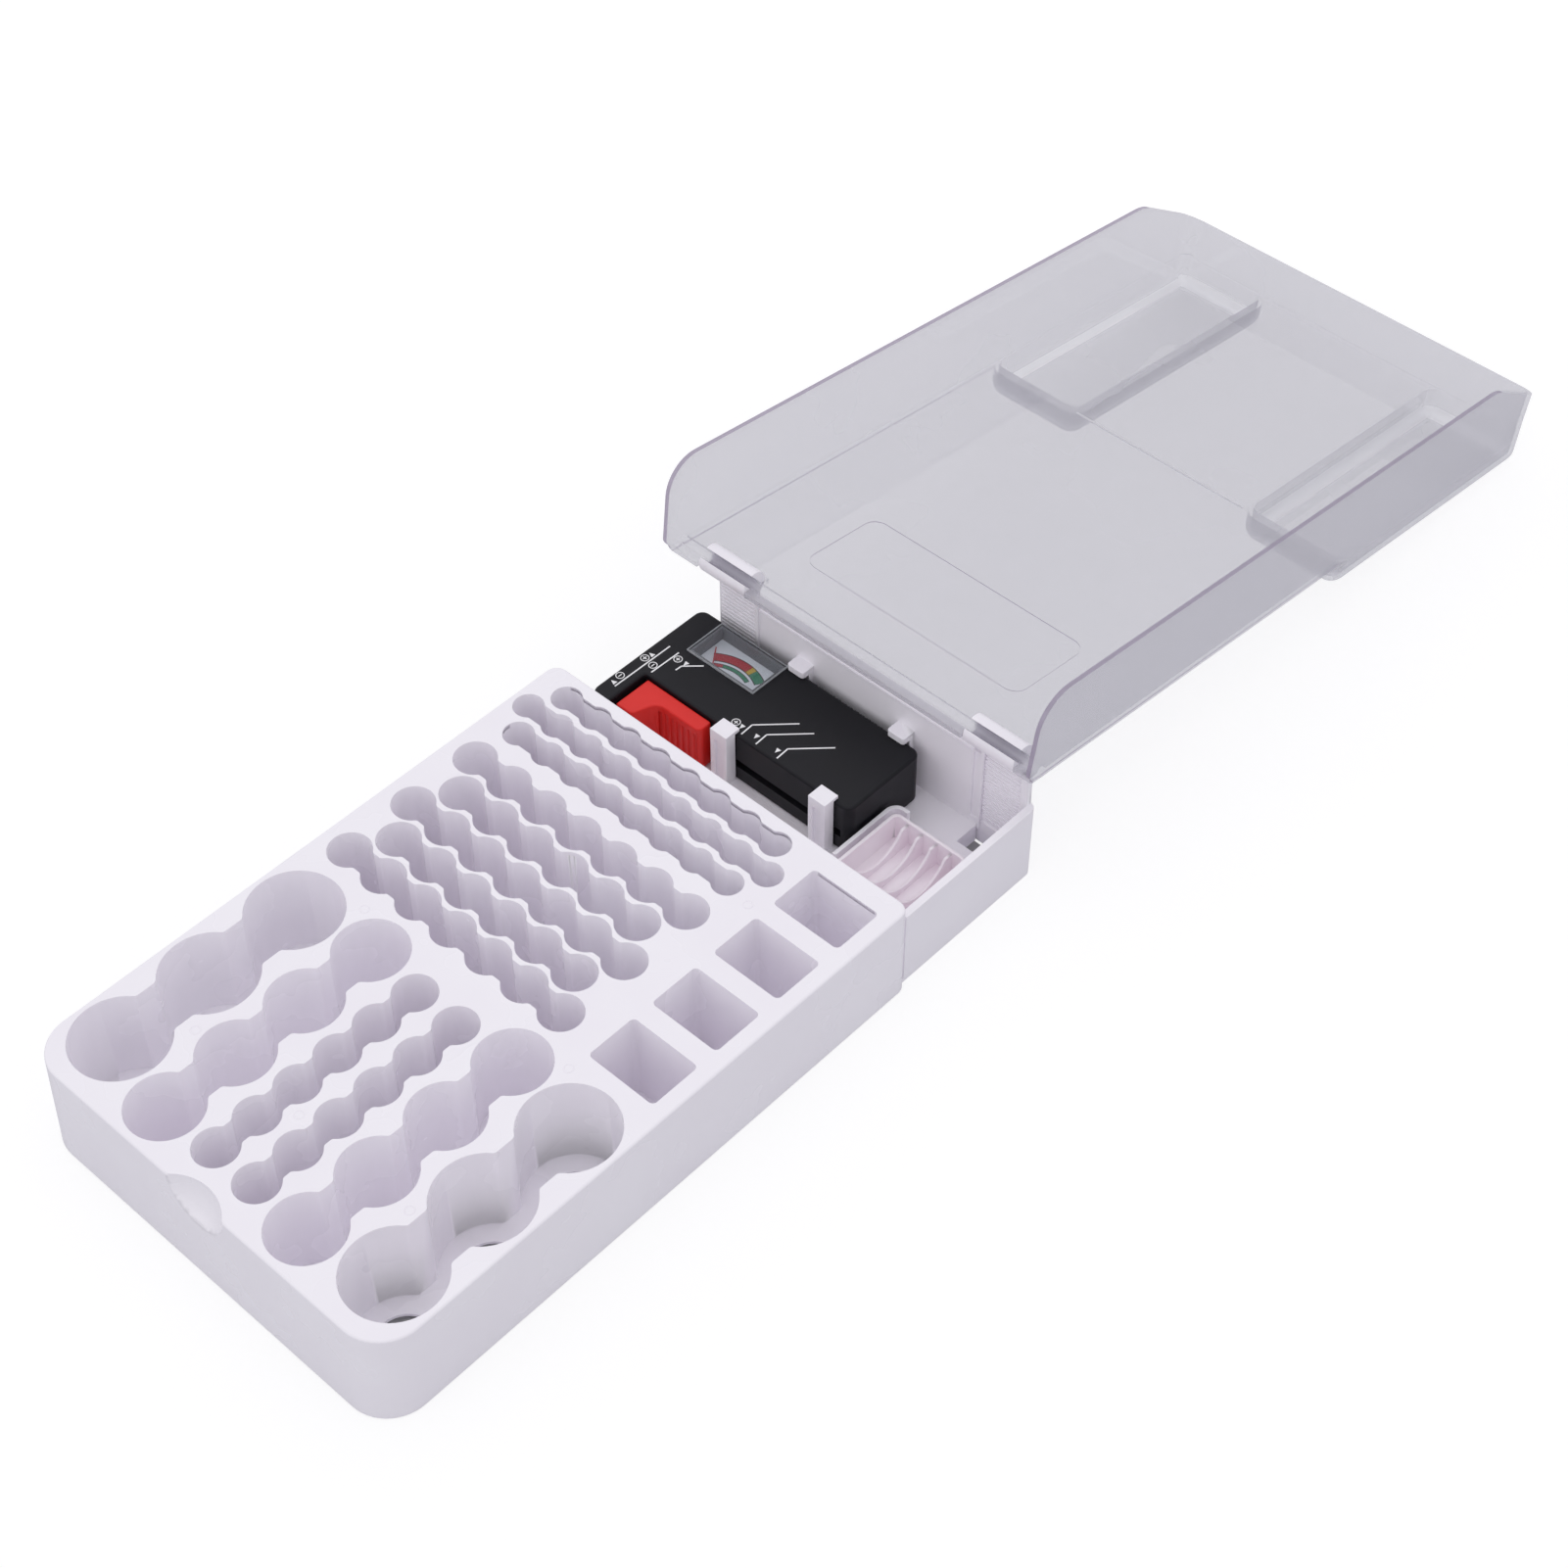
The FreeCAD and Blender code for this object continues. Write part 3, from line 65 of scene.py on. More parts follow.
# The frame's Y runs from the middle of the open case; the case's own drawings run from the
# tray's front top edge, so every place below is given from that edge and moved by this.
CASE_LENGTH, TRAY_LENGTH = 318.9, 246.9
TRAY_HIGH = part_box("battery_tray")[1]
FRONT_Y = TRAY_HIGH.y - TRAY_LENGTH * MM


def place(x, y, z):
    """A point given in millimetres from the middle, the tray's front top edge and the table."""
    return Vector((x * MM, FRONT_Y + y * MM, z * MM))


# ---- camera and light ----------------------------------------------------------------------
CAMERA_PLACE = (504.9, -266.9, 826.3)
CAMERA_AZIMUTH, CAMERA_ELEVATION = 42.87, 47.47
CAMERA_LENS, SENSOR = 67.76, 36.0


def make_camera():
    """The photograph's camera, fitted to the edges of the tray, the base and the lid."""
    data = bpy.data.cameras.new("camera")
    data.lens, data.sensor_width, data.sensor_fit = CAMERA_LENS, SENSOR, "AUTO"
    data.clip_start, data.clip_end = 0.01, 20.0
    camera = bpy.data.objects.new("camera", data)
    camera.location = place(*CAMERA_PLACE)
    camera.rotation_euler = (math.radians(90 - CAMERA_ELEVATION), 0, math.radians(CAMERA_AZIMUTH))
    bpy.context.scene.collection.objects.link(camera)
    bpy.context.scene.camera = camera


def area_light(name, where, aim, size, power):
    """A round soft lamp at a place, turned to what it lights; metres and watts."""
    data = bpy.data.lights.new(name, "AREA")
    data.shape, data.size, data.energy = "DISK", size, power
    lamp = bpy.data.objects.new(name, data)
    lamp.location = where
    lamp.rotation_euler = (Vector(aim) - Vector(where)).to_track_quat("-Z", "Y").to_euler()
    bpy.context.scene.collection.objects.link(lamp)


# ---- node and colour helpers ---------------------------------------------------------------
def linear(code):
    """An sRGB hex colour as linear RGBA."""
    channels = [int(code[i:i + 2], 16) / 255 for i in (1, 3, 5)]
    return [c / 12.92 if c <= 0.04045 else ((c + 0.055) / 1.055) ** 2.4 for c in channels] + [1.0]


def add(tree, kind, inputs=(), **settings):
    """Adds a node, sets its properties, and fills or links its inputs."""
    node = tree.nodes.new(kind)
    for key, value in settings.items():
        setattr(node, key, value)
    for key, value in dict(inputs).items():
        if isinstance(value, bpy.types.NodeSocket):
            tree.links.new(value, node.inputs[key])
        else:
            node.inputs[key].default_value = value
    return node


def material(name):
    """An empty material and its node tree."""
    made = bpy.data.materials.new(name)
    made.use_nodes = True
    made.node_tree.nodes.clear()
    return made, made.node_tree


def finish_material(tree, shader):
    add(tree, "ShaderNodeOutputMaterial", {"Surface": shader.outputs[0]})


def moulded_plastic(name, light, dark, roughness, grain_mm, grain_depth_mm, cloud_mm=40.0, specular=0.5):
    """Injection-moulded plastic: nearly even colour with faint flow clouds and a fine tool texture."""
    made, tree = material(name)
    coords = add(tree, "ShaderNodeTexCoord")
    clouds = add(tree, "ShaderNodeTexNoise", {"Vector": coords.outputs["Object"], "Scale": 1 / (cloud_mm * MM),
                                              "Detail": 3.0, "Roughness": 0.55})
    ramp = add(tree, "ShaderNodeMapRange", {"Value": clouds.outputs["Fac"], "From Min": 0.35, "From Max": 0.65})
    colour = add(tree, "ShaderNodeMix", {"Factor": ramp.outputs["Result"]}, data_type="RGBA")
    colour.inputs["A"].default_value = linear(dark)
    colour.inputs["B"].default_value = linear(light)
    grain = add(tree, "ShaderNodeTexNoise", {"Vector": coords.outputs["Object"], "Scale": 1 / (grain_mm * MM),
                                             "Detail": 2.0})
    bump = add(tree, "ShaderNodeBump", {"Height": grain.outputs["Fac"], "Strength": 0.6,
                                        "Distance": grain_depth_mm * MM})
    gloss = add(tree, "ShaderNodeMapRange", {"Value": clouds.outputs["Fac"], "From Min": 0.3, "From Max": 0.7,
                                             "To Min": roughness - 0.04, "To Max": roughness + 0.05})
    shader = add(tree, "ShaderNodeBsdfPrincipled", {"Base Color": colour.outputs["Result"],
                                                    "Roughness": gloss.outputs["Result"],
                                                    "Normal": bump.outputs["Normal"],
                                                    "IOR": 1.5, "Specular IOR Level": specular})
    finish_material(tree, shader)
    return made


def clear_plastic(name, clear, haze, haze_share, roughness):
    """Thin clear plastic: lets most light straight through, veils it with a little haze and shines."""
    made, tree = material(name)
    coords = add(tree, "ShaderNodeTexCoord")
    flow = add(tree, "ShaderNodeTexNoise", {"Vector": coords.outputs["Object"], "Scale": 1 / (70 * MM),
                                            "Detail": 3.0})
    share = add(tree, "ShaderNodeMapRange", {"Value": flow.outputs["Fac"], "From Min": 0.3, "From Max": 0.7,
                                             "To Min": haze_share - 0.012, "To Max": haze_share + 0.012})
    through = add(tree, "ShaderNodeBsdfTransparent", {"Color": linear(clear)})
    lit = add(tree, "ShaderNodeBsdfDiffuse", {"Color": linear(haze)})
    glow = add(tree, "ShaderNodeBsdfTranslucent", {"Color": linear(haze)})
    veil = add(tree, "ShaderNodeMixShader", {"Fac": 0.5, 1: lit.outputs[0], 2: glow.outputs[0]})
    body = add(tree, "ShaderNodeMixShader", {"Fac": share.outputs["Result"], 1: through.outputs[0],
                                             2: veil.outputs[0]})
    # Only the outer side mirrors: seen from within, Fresnel would turn the plate dark.
    gloss = add(tree, "ShaderNodeBsdfGlossy", {"Color": linear("#FFFFFF"), "Roughness": roughness})
    fresnel = add(tree, "ShaderNodeFresnel", {"IOR": 1.5})
    side = add(tree, "ShaderNodeNewGeometry")
    outside = add(tree, "ShaderNodeMath", {0: 1.0, 1: side.outputs["Backfacing"]}, operation="SUBTRACT")
    shine = add(tree, "ShaderNodeMath", {0: fresnel.outputs[0], 1: outside.outputs[0]}, operation="MULTIPLY")
    shader = add(tree, "ShaderNodeMixShader", {"Fac": shine.outputs[0], 1: body.outputs[0],
                                               2: gloss.outputs[0]})
    finish_material(tree, shader)
    return made


def metal(name, code, roughness, grain_mm):
    """Bare metal with a drawn-out grain in its gloss."""
    made, tree = material(name)
    coords = add(tree, "ShaderNodeTexCoord")
    stretch = add(tree, "ShaderNodeMapping", {"Vector": coords.outputs["Object"], "Scale": (1.0, 12.0, 1.0)})
    grain = add(tree, "ShaderNodeTexNoise", {"Vector": stretch.outputs["Vector"], "Scale": 1 / (grain_mm * MM)})
    gloss = add(tree, "ShaderNodeMapRange", {"Value": grain.outputs["Fac"], "To Min": roughness - 0.06,
                                             "To Max": roughness + 0.08})
    shader = add(tree, "ShaderNodeBsdfPrincipled", {"Base Color": linear(code), "Metallic": 1.0,
                                                    "Roughness": gloss.outputs["Result"]})
    finish_material(tree, shader)
    return made


# Cool white polystyrene: even and rather glossy, so that the wells' rims catch thin bright lines.
TRAY_PLASTIC = moulded_plastic("moulded_polystyrene_white", "#F8F6FA", "#F6F3F8", 0.26, 0.5, 0.003)
# White ABS: the same white, a touch greyer and softer in its shine.
BASE_PLASTIC = moulded_plastic("moulded_abs_white", "#F7F5F9", "#F5F2F7", 0.30, 0.5, 0.003)
# Polypropylene: a waxy white that goes pinkish between the ribs.
HOLDER_PLASTIC = moulded_plastic("moulded_polypropylene_pinkish", "#F6EFF4", "#F3EAF0", 0.32, 0.5, 0.003)
# Spark-textured ABS: a fine grain breaks the highlight, so the black stays matt.
BLACK_PLASTIC = moulded_plastic("spark_textured_abs_black", "#131318", "#0F0F13", 0.42, 0.35, 0.015,
                                specular=0.22)
# Satin ABS: a strong red with a broad dull shine along the grip's ridges.
RED_PLASTIC = moulded_plastic("satin_abs_red", "#E22A23", "#DA231E", 0.36, 0.5, 0.006, specular=0.35)
# Grey ABS of the meter's cup: a plain dark surround that sets the dial off.
METER_PLASTIC = moulded_plastic("meter_cup_grey", "#6E7074", "#66686C", 0.38, 0.5, 0.004)
# Clear polystyrene: a grey veil over what lies under it, with a sharp mirror on top. The veil is lit haze, and
# its grey is painted shade that stands in for a grey backdrop seen through the plate.
CLEAR_LID = clear_plastic("clear_polystyrene_painted_grey_veil", "#ECECEE", "#F3F2F5", 0.26, 0.06)
# Its edges read as violet-grey lines. That is painted shade: a darker copy of the clear plastic on its rim, its
# thin faces and the step round the label.
LID_EDGE_PAINTED_SHADE = clear_plastic("polystyrene_cut_edge_painted_shade", "#C4BBCB", "#B9B0C0", 0.60, 0.10)
# Its bends read as pale soft lines. That is a painted highlight: a paler copy of the clear plastic on the bends
# of its pockets and on a thin bar across the plate.
LID_PAINTED_HIGHLIGHT = clear_plastic("clear_polystyrene_painted_highlight_bend", "#F4F4F6", "#FFFFFF", 0.46, 0.10)
# Acrylic: nearly unseen over the dial, but for its reflection and its pale edge. The pale edge is a painted
# highlight: a paler copy of the clear acrylic on the window's edges.
CLEAR_WINDOW = clear_plastic("clear_acrylic", "#F8F9FA", "#E6E9EC", 0.03, 0.04)
WINDOW_EDGE_PAINTED_HIGHLIGHT = clear_plastic("acrylic_cut_edge_painted_highlight", "#D5D9DD", "#E8ECEF", 0.6, 0.10)
# Card and inks of the dial: dull and flat beside the plastic round them.
DIAL_CARD = moulded_plastic("dial_card", "#EEF1F5", "#E9EDF1", 0.6, 0.3, 0.004)
DIAL_RED = moulded_plastic("dial_ink_red", "#C0303A", "#B82A34", 0.6, 0.3, 0.003)
DIAL_YELLOW = moulded_plastic("dial_ink_yellow", "#D9B63C", "#D2AE36", 0.6, 0.3, 0.003)
DIAL_GREEN = moulded_plastic("dial_ink_green", "#2F8A63", "#2A815C", 0.6, 0.3, 0.003)
DIAL_BLACK = moulded_plastic("dial_ink_black", "#2B2226", "#241C20", 0.6, 0.3, 0.003)
# Pad-printed ink on the black shell: flat white, with no shine of its own.
PRINT_WHITE = moulded_plastic("pad_print_white", "#F4F4F4", "#EDEDED", 0.5, 0.3, 0.003)
# The meter's works: painted needle, dark sintered magnet, lacquered resistors and brown laminate.
NEEDLE_PAINT = moulded_plastic("needle_paint_red", "#C8323A", "#BE2C34", 0.4, 0.3, 0.003)
MAGNET = moulded_plastic("sintered_magnet", "#3C3B3D", "#333234", 0.55, 0.3, 0.02)
RESISTOR = moulded_plastic("resistor_lacquer", "#B59B6A", "#A98F60", 0.4, 0.5, 0.01)
BOARD = moulded_plastic("paper_laminate", "#8F6638", "#865E33", 0.55, 0.5, 0.01)
# Metals, told apart by colour and by how blurred their grain makes the reflection.
NICKEL = metal("nickel_plated_strip", "#C9C6BE", 0.25, 2.0)
BRASS = metal("rolled_brass", "#C9A55A", 0.3, 2.0)
COPPER = metal("enamelled_copper", "#B5652F", 0.35, 0.3)
STEEL = metal("zinc_plated_steel", "#B9BCC0", 0.32, 1.5)


# ---- mesh helpers --------------------------------------------------------------------------
SHARP_FROM = math.radians(40)       # the shading breaks at bends from this angle on
CORNER_FROM = math.radians(50)      # edges sharper than this are rounded
SAME_POINT, FLAT_WITHIN = 2e-6, math.radians(0.5)


def new_object(name, mesh, finish, body):
    """A piece of the scene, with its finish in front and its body."""
    indices = [polygon.material_index for polygon in mesh.polygons]
    mesh.materials.clear()
    mesh.materials.append(finish)
    mesh.polygons.foreach_set("material_index", indices)
    piece = bpy.data.objects.new(name, mesh)
    bpy.context.scene.collection.objects.link(piece)
    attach(piece, body)
    return piece


def smooth(mesh):
    mesh.shade_smooth()
    mesh.set_sharp_from_angle(angle=SHARP_FROM)


def applied(name, mesh, kind, settings, inputs=None):
    """The mesh with one modifier baked in; inputs are the values of a node tree's named inputs.

    Those are set by their sockets' identifiers, before the modifier is first evaluated."""
    temporary = bpy.data.objects.new(name, mesh)
    bpy.context.scene.collection.objects.link(temporary)
    modifier = temporary.modifiers.new(kind.lower(), kind)
    for key, value in settings.items():
        setattr(modifier, key, value)
    for socket in modifier.node_group.interface.items_tree if inputs else ():
        if socket.in_out == "INPUT" and socket.name in inputs:
            modifier[socket.identifier] = inputs[socket.name]
    evaluated = temporary.evaluated_get(bpy.context.evaluated_depsgraph_get())
    result = bpy.data.meshes.new_from_object(evaluated)
    bpy.data.objects.remove(temporary)
    return result


def corner_edge(edge):
    """1 where an edge stands out as a corner, else 0."""
    stands_out = len(edge.link_faces) == 2 and edge.is_convex and edge.calc_face_angle() > CORNER_FROM
    return 1.0 if stands_out else 0.0


def dressed_node(node, finish, edge_mm=0.0, rounds=corner_edge, others=(), sort_face=None):
    """A copy of a CAD node with joined faces and smooth walls, whose chosen edges are rounded.

    rounds gives each edge's share of edge_mm.  sort_face gives each face's number in the row of
    finishes, of which finish is number 0."""
    source = frame["nodes"][node]
    mesh = source.data.copy()
    mesh.name = node + "_dressed"
    work = bmesh.new()
    work.from_mesh(mesh)
    bmesh.ops.remove_doubles(work, verts=work.verts, dist=SAME_POINT)
    bmesh.ops.dissolve_limit(work, angle_limit=FLAT_WITHIN, verts=work.verts, edges=work.edges)
    work.normal_update()
    weight = work.edges.layers.float.new("bevel_weight_edge")
    for edge in work.edges:
        edge[weight] = rounds(edge) if edge_mm else 0.0
    work.to_mesh(mesh)
    work.free()
    if edge_mm:
        mesh = applied(node + "_edges", mesh, "BEVEL", {
            "width": edge_mm * MM, "segments": 2, "limit_method": "WEIGHT", "use_clamp_overlap": True,
            "harden_normals": False, "miter_outer": "MITER_ARC"})
    if sort_face:
        work = bmesh.new()
        work.from_mesh(mesh)
        for face in work.faces:
            face.material_index = sort_face(face)
        work.to_mesh(mesh)
        work.free()
    smooth(mesh)
    mesh = applied(node + "_normals", mesh, "WEIGHTED_NORMAL", {"keep_sharp": True, "weight": 100})
    piece = new_object(node + "_dressed", mesh, finish, source["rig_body"])
    for other in others:
        mesh.materials.append(other)
    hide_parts(node)
    return piece


def repaint(node, finish):
    """A CAD node shown as it is, with its own finish."""
    piece = frame["nodes"][node]
    piece.data.materials.clear()
    piece.data.materials.append(finish)


# ---- printed marks and the dial ------------------------------------------------------------
INK_THICK, INK_LINE, SIGN_LINE = 0.04, 0.6, 0.4
DIAL_CENTRE, ARC_STEPS = (-46.1, 284.5), 28


def flat_shapes(name, outlines, z_mm, thick_mm, finish, body):
    """Thin raised marks: each outline is a list of (x, y) in millimetres, counter-clockwise."""
    work = bmesh.new()
    for outline in outlines:
        low = [work.verts.new(place(x, y, z_mm)) for x, y in outline]
        high = [work.verts.new(place(x, y, z_mm + thick_mm)) for x, y in outline]
        work.faces.new(high)
        work.faces.new(low[::-1])
        for i in range(len(outline)):
            j = (i + 1) % len(outline)
            work.faces.new((low[i], low[j], high[j], high[i]))
    bmesh.ops.recalc_face_normals(work, faces=work.faces)
    mesh = bpy.data.meshes.new(name)
    work.to_mesh(mesh)
    work.free()
    return new_object(name, mesh, finish, body)


def stroke(points, width):
    """Boxes along a broken line."""
    shapes = []
    for (x0, y0), (x1, y1) in zip(points, points[1:]):
        length = math.hypot(x1 - x0, y1 - y0)
        nx, ny = -(y1 - y0) / length * width / 2, (x1 - x0) / length * width / 2
        shapes.append([(x0 - nx, y0 - ny), (x1 - nx, y1 - ny), (x1 + nx, y1 + ny), (x0 + nx, y0 + ny)])
    return shapes


def sector(centre, r0, r1, a0, a1, steps):
    """A piece of a flat ring, as quadrilaterals; angles in degrees from +X."""
    shapes = []
    for i in range(steps):
        a = math.radians(a0 + (a1 - a0) * i / steps)
        b = math.radians(a0 + (a1 - a0) * (i + 1) / steps)
        shapes.append([(centre[0] + r * math.cos(t), centre[1] + r * math.sin(t))
                       for r, t in ((r0, a), (r1, a), (r1, b), (r0, b))])
    return shapes


def ring_sign(x, y, plus):
    """A circled plus or minus."""
    arm, gap = 0.9, SIGN_LINE / 2
    shapes = sector((x, y), 1.45, 1.8, 0, 360, 32) + stroke([(x, y - arm), (x, y + arm)], SIGN_LINE)
    if plus:
        shapes += stroke([(x - arm, y), (x - gap, y)], SIGN_LINE)
        shapes += stroke([(x + gap, y), (x + arm, y)], SIGN_LINE)
    return shapes


def arrow(x, y, heading):
    """A small filled triangle that points along heading, in degrees from +X."""
    points = []
    for turn, reach in ((0, 1.5), (130, 1.35), (230, 1.35)):
        angle = math.radians(heading + turn)
        points.append((x + reach * math.cos(angle), y + reach * math.sin(angle)))
    return [points]


def tester_marks():
    """The tester's leader lines, circled signs and arrows, without any of its words."""
    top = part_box("tester_top_shell")[1].z / MM
    shapes = []
    for x in (-19.0, -11.6, -1.0):
        shapes += stroke([(x, 274.2), (x - 0.3, 280.4), (x + 12.2, 292.8)], INK_LINE)
        shapes += arrow(x - 2.5, 277.3, -90)
    shapes += ring_sign(-24.7, 277.4, True)
    shapes += stroke([(-71.0, 259.9), (-70.7, 289.3)], INK_LINE)
    shapes += stroke([(-66.1, 274.5), (-65.8, 289.1)], INK_LINE)
    shapes += stroke([(-60.2, 281.6), (-60.0, 284.6), (-53.9, 290.4)], INK_LINE)
    shapes += arrow(-72.8, 261.2, 180) + ring_sign(-73.6, 265.3, False)
    shapes += ring_sign(-73.3, 278.3, True) + arrow(-72.5, 281.3, 180)
    shapes += ring_sign(-68.3, 277.6, False)
    shapes += ring_sign(-63.6, 286.4, True) + arrow(-59.7, 286.7, -90)
    flat_shapes("tester_pad_print", shapes, top, INK_THICK, PRINT_WHITE, "tester")


def meter_face():
    """The dial's frame and its two rows of zones: (inner radius, outer radius, from, to) in mm and degrees."""
    plate_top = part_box("dial_plate")[1].z / MM
    layers = (("dial_border", DIAL_BLACK, [(18.0, 22.4, 128.0, 58.6), (15.0, 17.0, 126.6, 66.4)],
               INK_THICK / 2),
              ("dial_low_zone", DIAL_RED, [(18.4, 22.0, 127.5, 83.4), (15.3, 16.7, 126.0, 113.6)], INK_THICK),
              ("dial_middle_zone", DIAL_YELLOW, [(18.4, 22.0, 83.0, 77.0)], INK_THICK),
              ("dial_good_zone", DIAL_GREEN, [(18.4, 22.0, 76.6, 59.2), (15.3, 16.7, 113.0, 67.0)],
               INK_THICK))
    for name, finish, bands, thick in layers:
        shapes = []
        for r0, r1, a0, a1 in bands:
            shapes += sector(DIAL_CENTRE, r0, r1, a1, a0, ARC_STEPS)
        flat_shapes(name, shapes, plate_top, thick, finish, "tester")


# ---- repeated moulding details, by geometry nodes ------------------------------------------
BACK_WALL_FACE, BACK_WALL_TOP, BAY_FLOOR = 316.4, 51.4, 8.75
RIDGES, RIDGE_PITCH, FIRST_RIDGE = 18, 1.9, 14.0
TRAY_TOP, EJECTOR_RADIUS, EJECTOR_BEAD = 43.0, 1.7, 0.22
EJECTOR_PLACES = ((-52.3, 43.8), (-50.5, 117.6), (-0.3, 44.5), (54.0, 43.8), (50.7, 117.6), (45.6, 209.5))
GRIP_RIDGES, GRIP_PITCH, GRIP_RADIUS = 7, 3.0, 0.8


def repeats(name, inputs, on_points=False):
    """A tree that repeats a unit shape, with a socket for each of its named inputs."""
    tree = bpy.data.node_groups.new(name, "GeometryNodeTree")
    if on_points:  # Blender takes a geometry input only as the first one.
        tree.interface.new_socket("Points", in_out="INPUT", socket_type="NodeSocketGeometry")
    for key, value in inputs.items():
        kind = {int: "NodeSocketInt", float: "NodeSocketFloat"}.get(type(value), "NodeSocketVector")
        tree.interface.new_socket(key, in_out="INPUT", socket_type=kind)
    tree.interface.new_socket("Geometry", in_out="OUTPUT", socket_type="NodeSocketGeometry")
    return tree, add(tree, "NodeGroupInput")


def grown(name, tree, inputs, placed, finish, body, points=None):
    """Ends the tree in real geometry with the finish on it, and bakes it into a plain piece."""
    real = add(tree, "GeometryNodeRealizeInstances", {"Geometry": placed.outputs[0]})
    painted = add(tree, "GeometryNodeSetMaterial", {"Geometry": real.outputs[0], "Material": finish})
    add(tree, "NodeGroupOutput", {"Geometry": painted.outputs[0]})
    carrier = points or bpy.data.meshes.new(name)
    mesh = applied(name + "_grown", carrier, "NODES", {"node_group": tree}, inputs)
    smooth(mesh)
    return new_object(name, mesh, finish, body)


def in_a_row(tree, given):
    """Points from First on, each a Step further."""
    return add(tree, "GeometryNodeMeshLine", {"Count": given.outputs["Count"],
                                              "Start Location": given.outputs["First"],
                                              "Offset": given.outputs["Step"]})


def bars(name, finish, body, count, first, step, size):
    """Equal bars in a row: first is the middle of the first one, step leads to the next."""
    inputs = {"Count": count, "First": tuple(first), "Step": tuple(map(float, step)), "Size": size}
    tree, given = repeats(name, inputs)
    line = in_a_row(tree, given)
    bar = add(tree, "GeometryNodeMeshCube", {"Size": given.outputs["Size"]})
    placed = add(tree, "GeometryNodeInstanceOnPoints", {"Points": line.outputs[0], "Instance": bar.outputs[0]})
    return grown(name, tree, inputs, placed, finish, body)


def ejector_marks():
    """Faint raised rings that the ejector pins leave on the tray."""
    points = bpy.data.meshes.new("ejector_marks")
    points.from_pydata([place(x, y, TRAY_TOP) for x, y in EJECTOR_PLACES], [], [])
    inputs = {"Radius": EJECTOR_RADIUS * MM, "Bead": EJECTOR_BEAD * MM}
    tree, given = repeats("ejector_marks", inputs, on_points=True)
    ring = add(tree, "GeometryNodeCurvePrimitiveCircle", {"Radius": given.outputs["Radius"], "Resolution": 20})
    bead = add(tree, "GeometryNodeCurvePrimitiveCircle", {"Radius": given.outputs["Bead"], "Resolution": 8})
    tube = add(tree, "GeometryNodeCurveToMesh", {"Curve": ring.outputs[0], "Profile Curve": bead.outputs[0]})
    placed = add(tree, "GeometryNodeInstanceOnPoints", {"Points": given.outputs["Points"],
                                                        "Instance": tube.outputs[0]})
    grown("ejector_marks", tree, inputs, placed, TRAY_PLASTIC, "tray", points)


def bay_details():
    """Fine ridges in the back wall's two panels, and the thin ribs and bead on the wall between them."""
    for side, x0, x1 in (("left", -69.6, -50.6), ("right", 62.4, 80.4)):
        bars("panel_ridges_" + side, BASE_PLASTIC, "case_base", RIDGES,
             place((x0 + x1) / 2, BACK_WALL_FACE + 0.6, FIRST_RIDGE), (0, 0, RIDGE_PITCH * MM),
             ((x1 - x0) * MM, 0.5 * MM, 0.9 * MM))
    height = BACK_WALL_TOP - BAY_FLOOR
    bars("wall_ribs", BASE_PLASTIC, "case_base", 2,
         place(-50.0, BACK_WALL_FACE - 0.4, BAY_FLOOR + height / 2), (112.0 * MM, 0, 0),
         (1.2 * MM, 0.9 * MM, height * MM))
    bars("wall_bead", BASE_PLASTIC, "case_base", 1,
         place(6.0, BACK_WALL_FACE - 0.2, 47.0), (0, 0, 0), (110.0 * MM, 0.7 * MM, 0.7 * MM))


def grip_ridges():
    """The thumb grip's upright ridges, with round tops."""
    low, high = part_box("tester_slider")
    first = place(-54.2, 267.1, 0)
    inputs = {"Count": GRIP_RIDGES, "First": (first[0], first[1], low.z + 8 * MM),
              "Step": (GRIP_PITCH * MM, 0.0, 0.0),
              "Radius": GRIP_RADIUS * MM, "Height": high.z - low.z - 9.2 * MM}
    tree, given = repeats("grip", inputs)
    line = in_a_row(tree, given)
    rod = add(tree, "GeometryNodeMeshCylinder", {"Radius": given.outputs["Radius"],
                                                 "Depth": given.outputs["Height"], "Vertices": 20})
    ball = add(tree, "GeometryNodeMeshUVSphere", {"Radius": given.outputs["Radius"], "Segments": 20,
                                                  "Rings": 10})
    half = add(tree, "ShaderNodeMath", {0: given.outputs["Height"], 1: 0.5}, operation="MULTIPLY")
    top = add(tree, "ShaderNodeCombineXYZ", {"Z": half.outputs[0]})
    lifted = add(tree, "GeometryNodeTransform", {"Geometry": ball.outputs[0], "Translation": top.outputs[0]})
    unit = add(tree, "GeometryNodeJoinGeometry")
    tree.links.new(rod.outputs[0], unit.inputs[0])
    tree.links.new(lifted.outputs[0], unit.inputs[0])
    placed = add(tree, "GeometryNodeInstanceOnPoints", {"Points": line.outputs[0], "Instance": unit.outputs[0]})
    grown("grip_ridges", tree, inputs, placed, RED_PLASTIC, "slide")


# ---- which edges are rounded and which faces have another finish ---------------------------
# The open lid slopes down from its hinge: LID_OUT runs along its plate and LID_UP stands on it.
LID_TILT = math.radians(7.78)
LID_OUT = Vector((0, math.cos(LID_TILT), -math.sin(LID_TILT)))
LID_UP = Vector((0, math.sin(LID_TILT), math.cos(LID_TILT)))
HINGE = place(0, 315.7, 58.9)
LID_SIDE, LID_RIM, LOBE_START = 91.1, 3.0, 186.0
POCKETS_FROM, POCKETS_TO = 185, 322
LID_BEND, LID_BROKEN_EDGE = 0.9, 0.28       # a bend's width in mm, and a plain corner's share of it


def top_edge(edge):
    """The tray's rim edges: both ends on the top face."""
    on_top = all(abs(v.co.z - TRAY_HIGH.z) < 2e-5 for v in edge.verts)
    return corner_edge(edge) if on_top else 0.0


